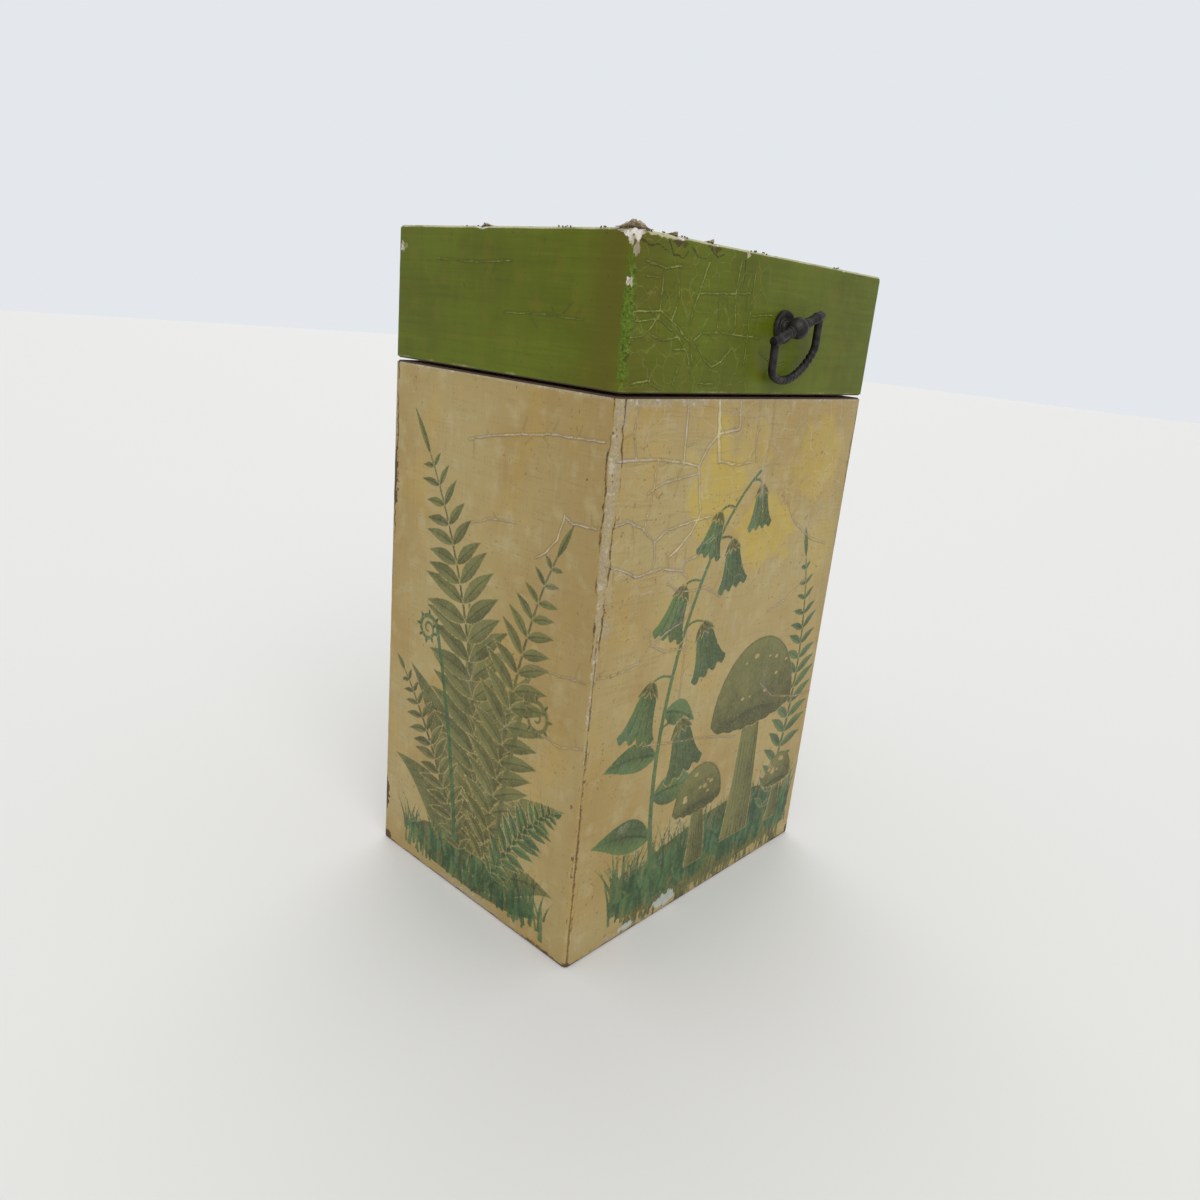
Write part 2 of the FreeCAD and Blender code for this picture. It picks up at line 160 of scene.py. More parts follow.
def foldSheet(outer, inner, fans=()):
    # closes two grids of points to a sheet; over each fan's block the inside is plain, round one hub
    rows, columns = outer.shape[:2]
    keep = np.ones((rows, columns), bool)
    used = np.ones((rows - 1, columns - 1), bool)
    for r0, r1, c0, c1 in fans:
        keep[r0 + 1:r1, c0 + 1:c1] = False
        used[r0:r1, c0:c1] = False
    hubs = tuple(np.array([((r0 + r1) // 2, (c0 + c1) // 2) for r0, r1, c0, c1 in fans], int).reshape(-1, 2).T)

    def perPoint(outside, inside):
        return np.concatenate([outside.reshape(-1, *outside.shape[2:]), inside[keep], inside[hubs]])

    outerId = np.arange(rows * columns).reshape(rows, columns)
    innerId = np.full((rows, columns), -1)
    innerId[keep] = rows * columns + np.arange(keep.sum())
    faces = gridCells(outerId).reshape(-1, 4).tolist() + gridCells(innerId)[used][:, ::-1].tolist()
    for number, (r0, r1, c0, c1) in enumerate(fans):
        hub = rows * columns + int(keep.sum()) + number
        ring = np.concatenate([innerId[r0, c0:c1], innerId[r0:r1, c1], innerId[r1, c1:c0:-1], innerId[r1:r0:-1, c0]])
        faces += [[int(b), int(a), hub] for a, b in zip(ring, np.roll(ring, -1))]
    for edge in (np.s_[0], np.s_[:, -1], np.s_[-1, ::-1], np.s_[::-1, 0]):
        top, low = outerId[edge], innerId[edge]
        faces += [[int(a), int(c), int(d), int(b)] for a, b, c, d in zip(top, top[1:], low, low[1:])]
    return perPoint(outer, inner), faces, perPoint


def coverMesh(name, outer, inner, fans, fields):
    points, faces, perPoint = foldSheet(outer, inner, fans)
    mesh = newMesh(name, points, faces, 55)
    # the bake map: the outside takes most of it, the edges and the inside a strip at the right;
    # nothing is drawn at the hubs
    rows, columns = outer.shape[:2]
    flat = np.stack(np.meshgrid(np.linspace(0.01, 0.92, columns), np.linspace(0.01, 0.99, rows)), -1)
    strip = flat * (0.045, 1.0) + (0.945, 0.0)
    corner = np.zeros(len(mesh.loops), int)
    mesh.loops.foreach_get("vertex_index", corner)
    outside = (rows - 1) * (columns - 1) * 4
    values = perPoint(strip, strip)[corner]
    values[:outside] = perPoint(flat, strip)[corner[:outside]]
    mesh.uv_layers.new(name="OFBake").data.foreach_set("uv", values.astype(np.float32).ravel())
    for key, field in fields.items():
        drawn = perPoint(field, field)
        drawn[-len(fans):] = 0.0
        mesh.attributes.new(key, "FLOAT", "POINT").data.foreach_set("value", drawn.astype(np.float32))
    return mesh


# what is drawn on each paper: lines and shapes start far outside, soft patches at nothing
fieldStart = {
    "paper": {**dict.fromkeys(("leafInk", "tealInk", "fineLine", "crack", "scar"), -3.0), "tone": 0.5,
              **dict.fromkeys(("wash", "rub", "bare", "stain", "crackle", "age"), 0.0)},
    "green": {**dict.fromkeys(("crack", "chip", "scar"), -3.0),
              **dict.fromkeys(("rub", "stain", "crackle", "edge", "brown", "lilac"), 0.0)},
}


class Sheet:
    # a fine grid of paper; across runs left to right seen from outside, down starts at the top edge
    def __init__(self, across, down, paper):
        self.across, self.down = across, down
        self.u, self.v = np.meshgrid(across, down)
        self.fields = {name: np.full(self.u.shape, start) for name, start in fieldStart[paper].items()}

    def window(self, points, margin=3.0):
        low, high = points.min(0) - margin, points.max(0) + margin
        first, last = np.searchsorted(np.sort(self.down), (low[1], high[1]))
        count = len(self.down)
        return slice(count - last, count - first), slice(*np.searchsorted(self.across, (low[0], high[0])))

    def atLeast(self, name, values):
        np.maximum(self.fields[name], values, out=self.fields[name])

    def ink(self, name, part, inside, tone):
        # a drawn field holds how far inside its shapes each point is
        if tone is not None:
            shade = self.fields["tone"]
            value = tone(self.u[part], self.v[part]) if callable(tone) else tone
            shade[part] = np.where(inside > -0.3, value, shade[part])
        field = self.fields[name]
        field[part] = np.maximum(field[part], inside)

    def stroke(self, name, points, wide, narrow=None, tone=None):
        # half widths at the start and at the end
        points = np.array(points, float)
        widths = np.linspace(wide, wide if narrow is None else narrow, len(points))
        for a, b, wideA, wideB in zip(points, points[1:], widths, widths[1:]):
            part = self.window(np.array([a, b]))
            t, away = nearLine(self.u[part], self.v[part], a, b)
            self.ink(name, part, wideA + (wideB - wideA) * t - away, tone)

    def fill(self, name, outline, tone=None, cut=False, gap=0.0):
        outline = np.array(outline, float)
        part = self.window(outline)
        u, v = self.u[part], self.v[part]
        near, within = np.full(u.shape, 9.0), np.zeros(u.shape, bool)
        for a, b in zip(outline, np.roll(outline, -1, 0)):
            near = np.minimum(near, nearLine(u, v, a, b)[1])
            if a[1] != b[1]:
                within ^= ((a[1] > v) != (b[1] > v)) & (u < a[0] + (v - a[1]) * (b[0] - a[0]) / (b[1] - a[1]))
        inside = np.where(within, near, -near)
        # a cut bares the paper; a gap parts the shape from what is printed under it
        for other in (name,) if cut else ("leafInk", "tealInk", "fineLine") if gap else ():
            below = self.fields[other]
            below[part] = np.minimum(below[part], -(inside + gap))
        if not cut:
            self.ink(name, part, inside, tone)

    def leaf(self, name, base, tip, width, curl=0.0, veins=0, tone=0.45):
        base, tip = np.array(base, float), np.array(tip, float)
        run = tip - base
        length = math.hypot(*run)
        side = np.array([-run[1], run[0]]) / length
        middle = bend([base, base + run * 0.5 + side * curl * length, tip], 13)
        t = np.linspace(0, 1, 13)[:, None]
        reach = width / 2 * np.sin(math.pi * t ** 0.78) ** 1.05 * (1 - 0.2 * t ** 3)

        def shade(u, v):
            along = ((u - base[0]) * run[0] + (v - base[1]) * run[1]) / length ** 2
            beside = ((u - base[0]) * side[0] + (v - base[1]) * side[1]) / width
            return np.clip(tone + 0.22 * np.tanh(beside * 6) - 0.2 * along, 0, 1)

        outline = np.concatenate([middle + side * reach, (middle - side * reach)[::-1]])
        self.fill(name, outline, shade, gap=0.24 if width > 3 else 0.14)
        self.stroke("fineLine", middle[1:-1], 0.2 if width < 8 else 0.4, 0.05)
        for k in range(veins):
            at = middle[2 + k * 9 // veins]
            wide = width * 0.36 * math.sin(math.pi * (0.22 + 0.6 * k / veins))
            for hand in (-1, 1):
                self.stroke("fineLine", [at, at + side * hand * wide + run / length * wide * 0.9], 0.08, 0.0)

    def dabs(self, name, seed, *spots):
        # soft ragged patches: middle across and down, half width, half height, strength
        for u, v, wide, high, amount in spots:
            away = np.hypot((self.u - u) / wide, (self.v - v) / high)
            away = away + (roughNoise(self.u, self.v, max(1.2, min(wide, high) * 0.5), seed) - 0.5) * 1.2
            self.atLeast(name, amount * (1 - ease(away, 0.55, 1.15)))

    def specks(self, seed, *spots):
        for number, (u, v, size) in enumerate(spots):
            self.fill("scar", chipOutline(u, v, size * 0.8, size, seed + number))


# each side's way across and outward, and which corner lies at its left and its right edge
sideFrames = {
    "front": ((1, 0, 0), (0, -1, 0), 0, 1),
    "right": ((0, 1, 0), (1, 0, 0), 1, 2),
    "back": ((-1, 0, 0), (0, 1, 0), 2, 3),
    "left": ((0, -1, 0), (-1, 0, 0), 3, 0),
}


class SideSheet(Sheet):
    # one side of the box, folded round half of each corner; the profile gives its rows
    def __init__(self, side, profile, step, paper):
        across, outward, *self.corners = sideFrames[side]
        self.side, self.acrossAxis, self.outward = side, np.array(across, float), np.array(outward, float)
        sizes = boxLook["width"] / 2, boxLook["depth"] / 2
        self.half, self.reach = sizes if side in ("front", "back") else sizes[::-1]
        flat = self.half - boxLook["cornerRound"]
        flatCount = int(round(2 * flat / step)) + 1
        turns = np.linspace(0, math.pi / 4, 5)[1:]
        self.flatAt = np.concatenate([np.full(4, -1.0), np.linspace(-1, 1, flatCount), np.full(4, 1.0)])
        self.turn = np.concatenate([-turns[::-1], np.zeros(flatCount), turns])
        self.flatColumns = (4, 4 + flatCount - 1)
        self.inset, self.height, self.tilt, down = profile(step)
        super().__init__(self.half + self.flatAt * flat + self.turn * boxLook["cornerRound"], down, paper)

    def cover(self, name, relief, seamDepth, seed, fans):
        # both sheets at a corner end on the same line
        for hand, corner in zip((-1, 1), self.corners):
            line = -seamDepth * (0.55 + 0.45 * softNoise(self.height, 0.0, 3.1, seed + corner))[:, None]
            share = ease(self.turn * hand, 0.1, math.pi / 4)
            relief = relief * (1 - share) + line * share
        # the outside follows the CAD form; the inside is plain and closes the sheet
        up, tilt = np.array([0, 0, 1.0]), self.tilt[:, None, None]
        slim = np.maximum(boxLook["cornerRound"] - self.inset, 0.03)[:, None]
        inset = self.inset[:, None]
        along = self.flatAt * (self.half - inset - slim) + np.sin(self.turn) * slim
        away = self.reach - inset - slim * (1 - np.cos(self.turn))
        place = (along[..., None] * self.acrossAxis + away[..., None] * self.outward
                 + self.height[:, None, None] * up)
        flatWay = np.sin(self.turn)[:, None] * self.acrossAxis + np.cos(self.turn)[:, None] * self.outward
        normal = flatWay * np.cos(tilt) + np.sin(tilt) * up
        return coverMesh(name, place + normal * relief[..., None], place - normal * boxLook["paperDepth"],
                         fans, self.fields)


def bodyProfile(step):
    # rows from the foot to the rim: inset, height, tilt, distance down from the top edge
    top, foot, rim = boxLook["bodyTop"], boxLook["footRound"], boxLook["rimRound"]
    low, high = 0.2, top - 0.4
    heights = np.linspace(low, high, int(round((high - low) / step)) + 1)
    heights = np.concatenate([heights[:1], [low + 0.15], heights[1:-1], [high - 0.15], heights[-1:]])
    nearFoot = np.clip(foot - heights, 0, foot)
    nearRim = np.clip(heights - (top - rim), 0, rim)
    inset = foot - np.sqrt(foot ** 2 - nearFoot ** 2) + rim - np.sqrt(rim ** 2 - nearRim ** 2)
    tilt = np.arcsin(nearRim / rim) - np.arcsin(nearFoot / foot)
    return inset, heights, tilt, top - heights


def lidProfile(step):
    low, top, edge, over = (boxLook[key] for key in ("lidFoot", "lidTop", "lidEdgeRound", "lidTurnOver"))
    heights = np.linspace(low, top - edge, int(round((top - edge - low) / step)) + 1)
    turns = np.linspace(0, math.pi / 2, 6)[1:]
    flat = np.linspace(edge, over, int(round((over - edge) / step)) + 1)[1:]
    inset = np.concatenate([np.zeros(len(heights)), edge - edge * np.cos(turns), flat])
    height = np.concatenate([heights, top - edge + edge * np.sin(turns), np.full(len(flat), top)])
    tilt = np.concatenate([np.zeros(len(heights)), turns, np.full(len(flat), math.pi / 2)])
    down = np.concatenate([top - heights, edge - turns * edge, edge - edge * math.pi / 2 - (flat - edge)])
    return inset, height, tilt, down


# cracks in the varnish: half width, then points across and down in millimetres
frontCracks = [
    (0.6, 28, 0, 29, 17), (0.5, 1.5, 16, 15, 16, 29, 17.5, 36, 19), (1.3, 42, 0, 43.5, 10, 45.5, 18),
    (0.6, 52.5, 1, 53.5, 9, 44, 10, 39, 14, 36, 19, 38, 27, 39.5, 33, 36, 38, 31, 42, 27.5, 44),
    (0.3, 15, 25, 22, 22.5, 36, 21), (0.4, 46, 18, 55, 19.5, 62, 19), (0.25, 62.5, 0, 63, 12, 64.5, 19),
    (0.35, 2.5, 33, 8, 32, 15, 35, 20, 39, 25, 36, 37, 34.5, 46, 34), (0.25, 20, 39, 21, 44, 20, 47),
    (0.4, 1, 43, 8, 45.5, 14, 48, 24, 47, 34, 49, 37, 51.5), (0.25, 34, 49, 36, 46, 41, 45),
    (0.25, 28, 52, 33, 55, 41, 56, 47, 56, 55, 60), (0.25, 24, 70, 30, 67, 38, 65),
    (0.2, 24, 70, 30, 73, 39, 74), (0.25, 2, 75, 12, 75.5, 20, 73.5), (0.12, 40.5, 57, 40.5, 90),
    (0.35, 83, 30, 92, 40, 104, 47, 115, 50), (0.2, 84, 70, 95, 67, 105, 62),
    (0.25, 86, 96, 95, 103, 110, 107, 123, 108), (0.2, 25, 102, 40, 105, 60, 109, 75, 113),
    (0.2, 8, 0, 7, 9, 9, 16), (0.2, 18, 16, 17, 26, 15, 35), (0.15, 70, 0, 71, 11, 69, 24, 73, 38),
]
leftCracks = [
    (0.3, 38, 19, 45, 17, 53, 15.5, 62, 14, 72, 12.5, 91, 11.5),
    (0.35, 91, 34, 82, 34.5, 79, 33, 77, 40, 73, 44.5, 69, 47),
    (0.15, 41, 43, 50, 40, 60, 39), (0.15, 68, 79, 80, 78, 92, 77), (0.15, 93, 96, 84, 99, 78, 98),
]
lidFrontRidges = [
    (0.3, 5, 7, 12.5, 8, 19, 7), (0.25, 5.5, 10.5, 11, 10.5), (0.25, 12, 9, 12, 18),
    (0.35, 2, 19, 12.5, 18, 20, 21.5, 26, 26, 27.5, 31), (0.25, 3, 21, 12, 20, 19, 23, 25, 28, 27, 33),
    (0.3, 27, 24.5, 30, 22.5, 35, 22, 57, 22.5), (0.25, 26, 13, 30, 12.5, 37, 12, 50, 11),
    (0.3, 24.5, 20.5, 26, 15, 30, 5), (0.25, 36.5, 12, 36.5, 22), (0.25, 1, 25, 6, 24.5, 9.5, 22, 12, 19),
    (0.25, 9.5, 24, 14, 25, 20, 24), (0.2, 18, 27, 24, 27), (0.3, 28, 25, 32, 29, 36, 31, 40, 29.5, 44, 26),
    (0.25, 4, 36, 10, 35, 15, 37), (0.2, 30, 35.5, 38, 35.5), (0.15, 51, 5, 51, 30),
    (0.2, 52, 17, 56, 16.5, 62, 16), (0.2, 11, 32, 11, 36), (0.2, 22, 31, 20, 36),
    (0.2, 44, 3, 43, 12, 45, 22), (0.18, 18, 8, 19, 15, 17, 20), (0.2, 58, 26, 66, 30, 72, 29),
]


def drawCracks(sheet, cracks, seed, twigs=0.12):
    rng = np.random.default_rng(seed)
    for half, *points in cracks:
        line = roughLine(np.array(points, float).reshape(-1, 2), rng)
        for a, b in zip(line, line[1:]):
            sheet.stroke("crack", [a, b], (0.19 + half * 0.4) * rng.uniform(0.85, 1.15))
            if rng.random() < twigs:
                turn = rng.uniform(0.6, 2.4) * rng.choice((-1, 1)) + math.atan2(*(b - a)[::-1])
                far = a + np.array([math.cos(turn), math.sin(turn)]) * rng.uniform(2, 6)
                sheet.stroke("crack", roughLine([a, far], rng, 0.2), half * 0.5, 0.02)


def looseCracks(count, across, down, seed):
    # a seeded net of its own for the sides that are out of sight
    rng = np.random.default_rng(seed)
    cracks = []
    for _ in range(count):
        u, v = rng.uniform(0, across), rng.uniform(0, down)
        turn = rng.choice((0.0, math.pi / 2)) + rng.normal(0, 0.25)
        points = [rng.uniform(0.15, 0.35), u, v]
        for _ in range(rng.integers(2, 6)):
            u, v = u + math.cos(turn) * rng.uniform(4, 9), v + math.sin(turn) * rng.uniform(4, 9)
            turn += rng.normal(0, 0.35)
            points += [u, v]
        cracks.append(points)
    return cracks


# the printed plants: an own design in the colours and the scale of an old nursery print
def drawFern(sheet, spine, longest, pairs, ink, seed, tone=0.5):
    rng = np.random.default_rng(seed)
    line = bend(spine, 60)
    sheet.stroke(ink, line, 0.95, 0.3, tone + 0.2)
    for k in range(pairs):
        t = (k + 1.2) / (pairs + 1.6)
        spot = t * (len(line) - 2)
        i = int(spot)
        run = line[i + 1] - line[i]
        way, at = run / np.hypot(*run), line[i] + run * (spot - i)
        length = longest * (0.1 + math.sin(math.pi * (0.08 + 0.9 * t) ** 0.8))
        for hand in (-1, 1):
            side = np.array([-way[1], way[0]]) * hand
            tip = at + (side * 0.9 + way * rng.uniform(0.3, 0.6)) * length * rng.uniform(0.88, 1.08)
            shade = tone + rng.uniform(-0.16, 0.16)
            sheet.leaf(ink, at, tip, max(1.8, length * 0.29), curl=hand * -0.08, tone=shade)
    sheet.leaf(ink, line[-4], line[-1] + (line[-1] - line[-4]) * 1.2, 2.4, tone=tone)


def drawCurl(sheet, foot, top, radius, hand, ink, tone=0.45):
    # a young frond, still rolled up
    stem = bend([foot, ((foot[0] + top[0]) / 2 - hand * 3, (foot[1] + top[1]) / 2), top], 16)
    turns = np.linspace(0, 3.6 * math.pi, 46)
    shrink = radius * (1 - turns / turns[-1] * 0.86)
    middle = np.array([top[0] + hand * radius, top[1]])
    roll = middle + np.stack([-hand * np.cos(turns) * shrink, -np.sin(turns) * shrink], 1)
    sheet.stroke(ink, np.concatenate([stem, roll]), 1.0, 0.35, tone)
    for at in roll[3:30:3]:
        sheet.leaf(ink, at, at + (at - middle) / np.hypot(*(at - middle)) * 2.4, 1.3, tone=tone + 0.1)


def drawGrass(sheet, start, end, ground, tall, count, ink, seed):
    rng = np.random.default_rng(seed)
    for _ in range(count):
        x, y = rng.uniform(start, end), ground + rng.uniform(-3, 6)
        length = tall * rng.uniform(0.35, 1.0)
        lean = rng.normal(0, 0.32) * length
        line = bend([(x, y), (x + lean * 0.2, y - length * 0.6), (x + lean, y - length)], 7)
        sheet.stroke(ink, line, rng.uniform(0.45, 0.75), 0.05, rng.uniform(0.25, 0.85))


def drawBell(sheet, stem, hang, size, lean, tone=0.5):
    sheet.stroke("tealInk", bend([stem, ((stem[0] + hang[0]) / 2, min(stem[1], hang[1]) - 2), hang], 9), 0.4)
    t = np.linspace(0, 1, 11)
    wide = size * (0.1 + 0.26 * np.sqrt(t) + 0.16 * t ** 5)
    mouth = np.linspace(1, -1, 19)[1:-1]
    lip = np.stack([mouth * wide[-1], size * (1.0 + 0.13 * np.abs(np.sin(mouth * math.pi * 2)))], 1)
    outline = np.concatenate([np.stack([wide, t * size], 1), lip, np.stack([-wide, t * size], 1)[::-1]])
    turn = np.array([[math.cos(lean), math.sin(lean)], [-math.sin(lean), math.cos(lean)]])

    def shade(u, v):
        return np.clip(tone + 0.3 * np.tanh((u - hang[0]) / size * 3) + 0.1, 0, 1)

    sheet.fill("tealInk", outline @ turn + hang, shade, gap=0.3)
    for x in (-0.5, 0.0, 0.5):
        sheet.stroke("fineLine", np.stack([wide * x, t * size * 0.96], 1) @ turn + hang, 0.16, 0.1)
    for x in (-1, -0.35, 0.35, 1):
        tip = np.array([x * size * 0.3, size * 0.3]) @ turn + hang
        sheet.leaf("leafInk", hang, tip, size * 0.12, tone=0.7)


def drawMushroom(sheet, middle, wide, high, foot, thick, seed):
    rng = np.random.default_rng(seed)
    middle, foot = np.array(middle, float), np.array(foot, float)

    def stemShade(u, v):
        return np.clip(0.1 + 0.6 * (u - middle[0] + thick / 2) / thick, 0, 1)

    def capShade(u, v):
        return np.clip(0.1 + 0.65 * (v - middle[1] + high) / high + 0.3 * (u - middle[0]) / wide, 0, 1)

    stem = bend([middle, (middle + foot) / 2 + (1.5, 0), foot], 10)
    swell = thick / 2 * np.linspace(0.8, 1.35, 10)[:, None] * (1, 0)
    sheet.fill("leafInk", np.concatenate([stem - swell, (stem + swell)[::-1]]), stemShade, gap=0.3)
    for k in range(5):
        sheet.stroke("fineLine", stem[2:] + ((k - 2) * thick * 0.17, 0), 0.14, 0.08)
    turn = np.linspace(math.pi, 2 * math.pi, 25)
    dome = middle + np.stack([np.cos(turn) * wide / 2, np.sin(turn) * high], 1)
    rim = np.linspace(1, -1, 25)[1:-1]
    under = middle + np.stack([rim * wide / 2, high * 0.2 * np.sqrt(1 - rim ** 2) + 0.35 * np.sin(rim * 21)], 1)
    sheet.fill("leafInk", np.concatenate([dome, under]), capShade, gap=0.3)
    for k in np.linspace(-0.9, 0.9, 17):
        end = middle + (k * wide / 2, high * 0.17 * math.sqrt(1 - k * k))
        sheet.stroke("fineLine", [middle + (k * thick * 0.4, -high * 0.04), end], 0.12, 0.06)
    sheet.stroke("fineLine", dome, 0.2)
    ring = np.linspace(0, 2 * math.pi, 10)[:-1]
    for _ in range(9):
        spot = middle + (rng.uniform(-0.36, 0.36) * wide, -high * rng.uniform(0.2, 0.78))
        size = rng.uniform(0.6, 1.5)
        sheet.fill("leafInk", spot + np.stack([np.cos(ring) * size, np.sin(ring) * size * 0.6], 1), cut=True)


def drawLeftPrint(sheet, flip=False):
    hand = -1 if flip else 1

    def at(*points):
        return [(boxLook["depth"] - u if flip else u, v) for u, v in points]

    sheet.fill("leafInk", at((14, 157), (24, 151), (38, 148), (56, 149), (72, 152), (82, 158), (70, 163),
                             (50, 165), (28, 164)), 0.6)
    for foot, tip, wide, curl, tone in (
            ((47, 160), (41, 66), 23, 0.14, 0.3), ((50, 160), (72, 80), 22, -0.2, 0.42),
            ((45, 160), (13, 96), 21, 0.28, 0.5), ((54, 161), (89, 118), 20, -0.32, 0.36),
            ((42, 161), (6, 132), 16, 0.34, 0.44), ((56, 162), (87, 148), 12, -0.3, 0.6)):
        sheet.leaf("leafInk", *at(foot, tip), wide, curl * hand, 9, tone)
    drawGrass(sheet, 12, 84, 159, 15, 190, "tealInk", 11)
    drawFern(sheet, at((50, 158), (50, 112), (44, 62), (16, 20)), 21, 22, "leafInk", 3, 0.5)
    drawFern(sheet, at((53, 158), (60, 120), (62, 72), (80, 40)), 16, 18, "leafInk", 4, 0.42)
    drawFern(sheet, at((46, 158), (34, 136), (22, 112), (8, 98)), 11, 13, "leafInk", 5, 0.58)
    drawFern(sheet, at((56, 158), (66, 142), (76, 124), (86, 120)), 10, 12, "tealInk", 6, 0.5)
    drawCurl(sheet, *at((60, 150), (68, 94)), 6, hand, "leafInk")
    drawCurl(sheet, *at((40, 150), (27, 82)), 5, -hand, "tealInk")


def drawFrontPrint(sheet):
    sheet.fill("leafInk", [(19, 155), (26, 148), (40, 143), (62, 139), (88, 137), (106, 141), (119, 149),
                           (118, 161), (96, 164), (64, 165), (36, 164), (22, 161)], 0.6)
    drawGrass(sheet, 18, 119, 156, 25, 430, "tealInk", 21)
    stem = bend([(38, 154), (26, 112), (33, 64), (52, 32), (68, 22)], 60)
    for k, (u, v, wide) in enumerate(((6, 130, 12), (56, 124, 12), (8, 106, 10), (50, 100, 9))):
        sheet.leaf("tealInk", stem[6 + k * 5], (u, v), wide, 0.14 * (-1) ** k, 6, 0.45)
    sheet.stroke("tealInk", stem, 1.1, 0.5, 0.4)
    for k, (size, lean) in enumerate(((19, -0.25), (17.5, 0.3), (17.5, -0.35), (15.5, 0.35), (15, -0.2),
                                      (13, 0.3), (13, -0.1))):
        u, v = stem[19 + k * 6]
        drawBell(sheet, (u, v), (u + (-1) ** k * (9.5 - k * 0.5), v - 1 + k * 0.3), size, lean)
    drawFern(sheet, [(98, 156), (112, 120), (114, 84), (102, 48)], 12, 17, "tealInk", 22, 0.45)
    drawMushroom(sheet, (84, 106), 48, 27, (83, 154), 12, 5)
    drawMushroom(sheet, (58, 133), 26, 15, (60, 156), 7.5, 6)
    drawMushroom(sheet, (108, 140), 18, 11, (107, 156), 5.5, 7)
    drawGrass(sheet, 24, 117, 163, 12, 190, "leafInk", 23)


def drawBackPrint(sheet):
    sheet.fill("leafInk", [(8, 156), (30, 150), (62, 147), (96, 150), (116, 156), (112, 162), (62, 165),
                           (14, 162)], 0.6)
    drawGrass(sheet, 8, 116, 158, 19, 330, "tealInk", 31)
    drawFern(sheet, [(36, 156), (30, 120), (36, 84), (56, 56)], 12, 20, "leafInk", 32, 0.5)
    drawFern(sheet, [(86, 156), (94, 128), (92, 96), (78, 74)], 10, 18, "leafInk", 33, 0.45)
    drawMushroom(sheet, (62, 132), 26, 15, (61, 155), 7, 34)
    drawMushroom(sheet, (104, 142), 14, 9, (104, 156), 4.5, 35)


# node trees, written as sums
class Wire:
    # one value on its way through a node tree
    def __init__(self, graph, socket):
        self.graph, self.socket = graph, socket

    def __add__(self, other):
        return self.graph.math("ADD", self, other)

    def __sub__(self, other):
        return self.graph.math("SUBTRACT", self, other)

    def __rsub__(self, other):
        return self.graph.math("SUBTRACT", other, self)

    def __mul__(self, other):
        return self.graph.math("MULTIPLY", self, other)

    __radd__ = __add__
    __rmul__ = __mul__

    def larger(self, other):
        return self.graph.math("MAXIMUM", self, other)

    def ease(self, low, high):
        return self.graph.add("ShaderNodeMapRange", {"interpolation_type": "SMOOTHSTEP"},
                               {"Value": self, "From Min": low, "From Max": high})


class Graph:
    def __init__(self, tree):
        self.tree = tree

    def add(self, kind, settings=None, inputs=None, out=0):
        node = self.tree.nodes.new(kind)
        for key, value in (settings or {}).items():
            setattr(node, key, value)
        for key, value in (inputs or {}).items():
            if isinstance(value, Wire):
                self.tree.links.new(value.socket, node.inputs[key])
            else:
                node.inputs[key].default_value = value
        return Wire(self, node.outputs[out]) if node.outputs else None

    def math(self, operation, *values):
        return self.add("ShaderNodeMath", {"operation": operation}, dict(enumerate(values)))

    def vector(self, operation, first, second):
        inputs = {0: first, "Scale" if operation == "SCALE" else 1: second}
        return self.add("ShaderNodeVectorMath", {"operation": operation}, inputs)


class Shape(Graph):
    # a Geometry Nodes tree whose inputs have names
    def __init__(self, name):
        super().__init__(bpy.data.node_groups.new(name, "GeometryNodeTree"))
        for way in ("INPUT", "OUTPUT"):
            self.tree.interface.new_socket("Geometry", in_out=way, socket_type="NodeSocketGeometry")
        self.entry = self.tree.nodes.new("NodeGroupInput")
        self.line = self.add("GeometryNodeMeshToCurve", {}, {"Mesh": Wire(self, self.entry.outputs["Geometry"])})
        self.values = {}

    def given(self, label, value):
        kind = "NodeSocketInt" if isinstance(value, int) else "NodeSocketFloat"
        socket = self.tree.interface.new_socket(label, in_out="INPUT", socket_type=kind)
        self.values[socket.identifier] = value
        return Wire(self, self.entry.outputs[label])

    def captureFactor(self, curve, label):
        # how far along its curve each point lies, kept for later
        factor = self.add("GeometryNodeSplineParameter", out="Factor")
        node = self.tree.nodes.new("GeometryNodeCaptureAttribute")
        node.capture_items.new("FLOAT", label)
        self.tree.links.new(curve.socket, node.inputs["Geometry"])
        self.tree.links.new(factor.socket, node.inputs[label])
        return Wire(self, node.outputs["Geometry"]), Wire(self, node.outputs[label])

    def moved(self, geometry, offset):
        return self.add("GeometryNodeSetPosition", {}, {"Geometry": geometry, "Offset": offset})

    def bake(self, geometry, path, name, finish):
        # runs the tree on a line of points, and keeps the result as a plain mesh
        real = self.add("GeometryNodeRealizeInstances", {}, {"Geometry": geometry})
        dressed = self.add("GeometryNodeSetMaterial", {}, {"Geometry": real, "Material": finish})
        self.add("NodeGroupOutput", {}, {"Geometry": dressed})
        line = bpy.data.meshes.new(name + "_path")
        line.from_pydata([tuple(point) for point in path], [(k, k + 1) for k in range(len(path) - 1)], [])
        source = placed(name + "_path", line)
        modifier = source.modifiers.new("shape", "NODES")
        modifier.node_group = self.tree
        for identifier, value in self.values.items():
            modifier[identifier] = value
        graph = bpy.context.evaluated_depsgraph_get()
        mesh = bpy.data.meshes.new_from_object(source.evaluated_get(graph), depsgraph=graph)
        bpy.data.objects.remove(source)
        mesh.name = name
        return mesh


def screenColour(red, green, blue):
    return tuple((c / 255 / 12.92 if c < 10.3 else ((c / 255 + 0.055) / 1.055) ** 2.4)
                 for c in (red, green, blue)) + (1.0,)


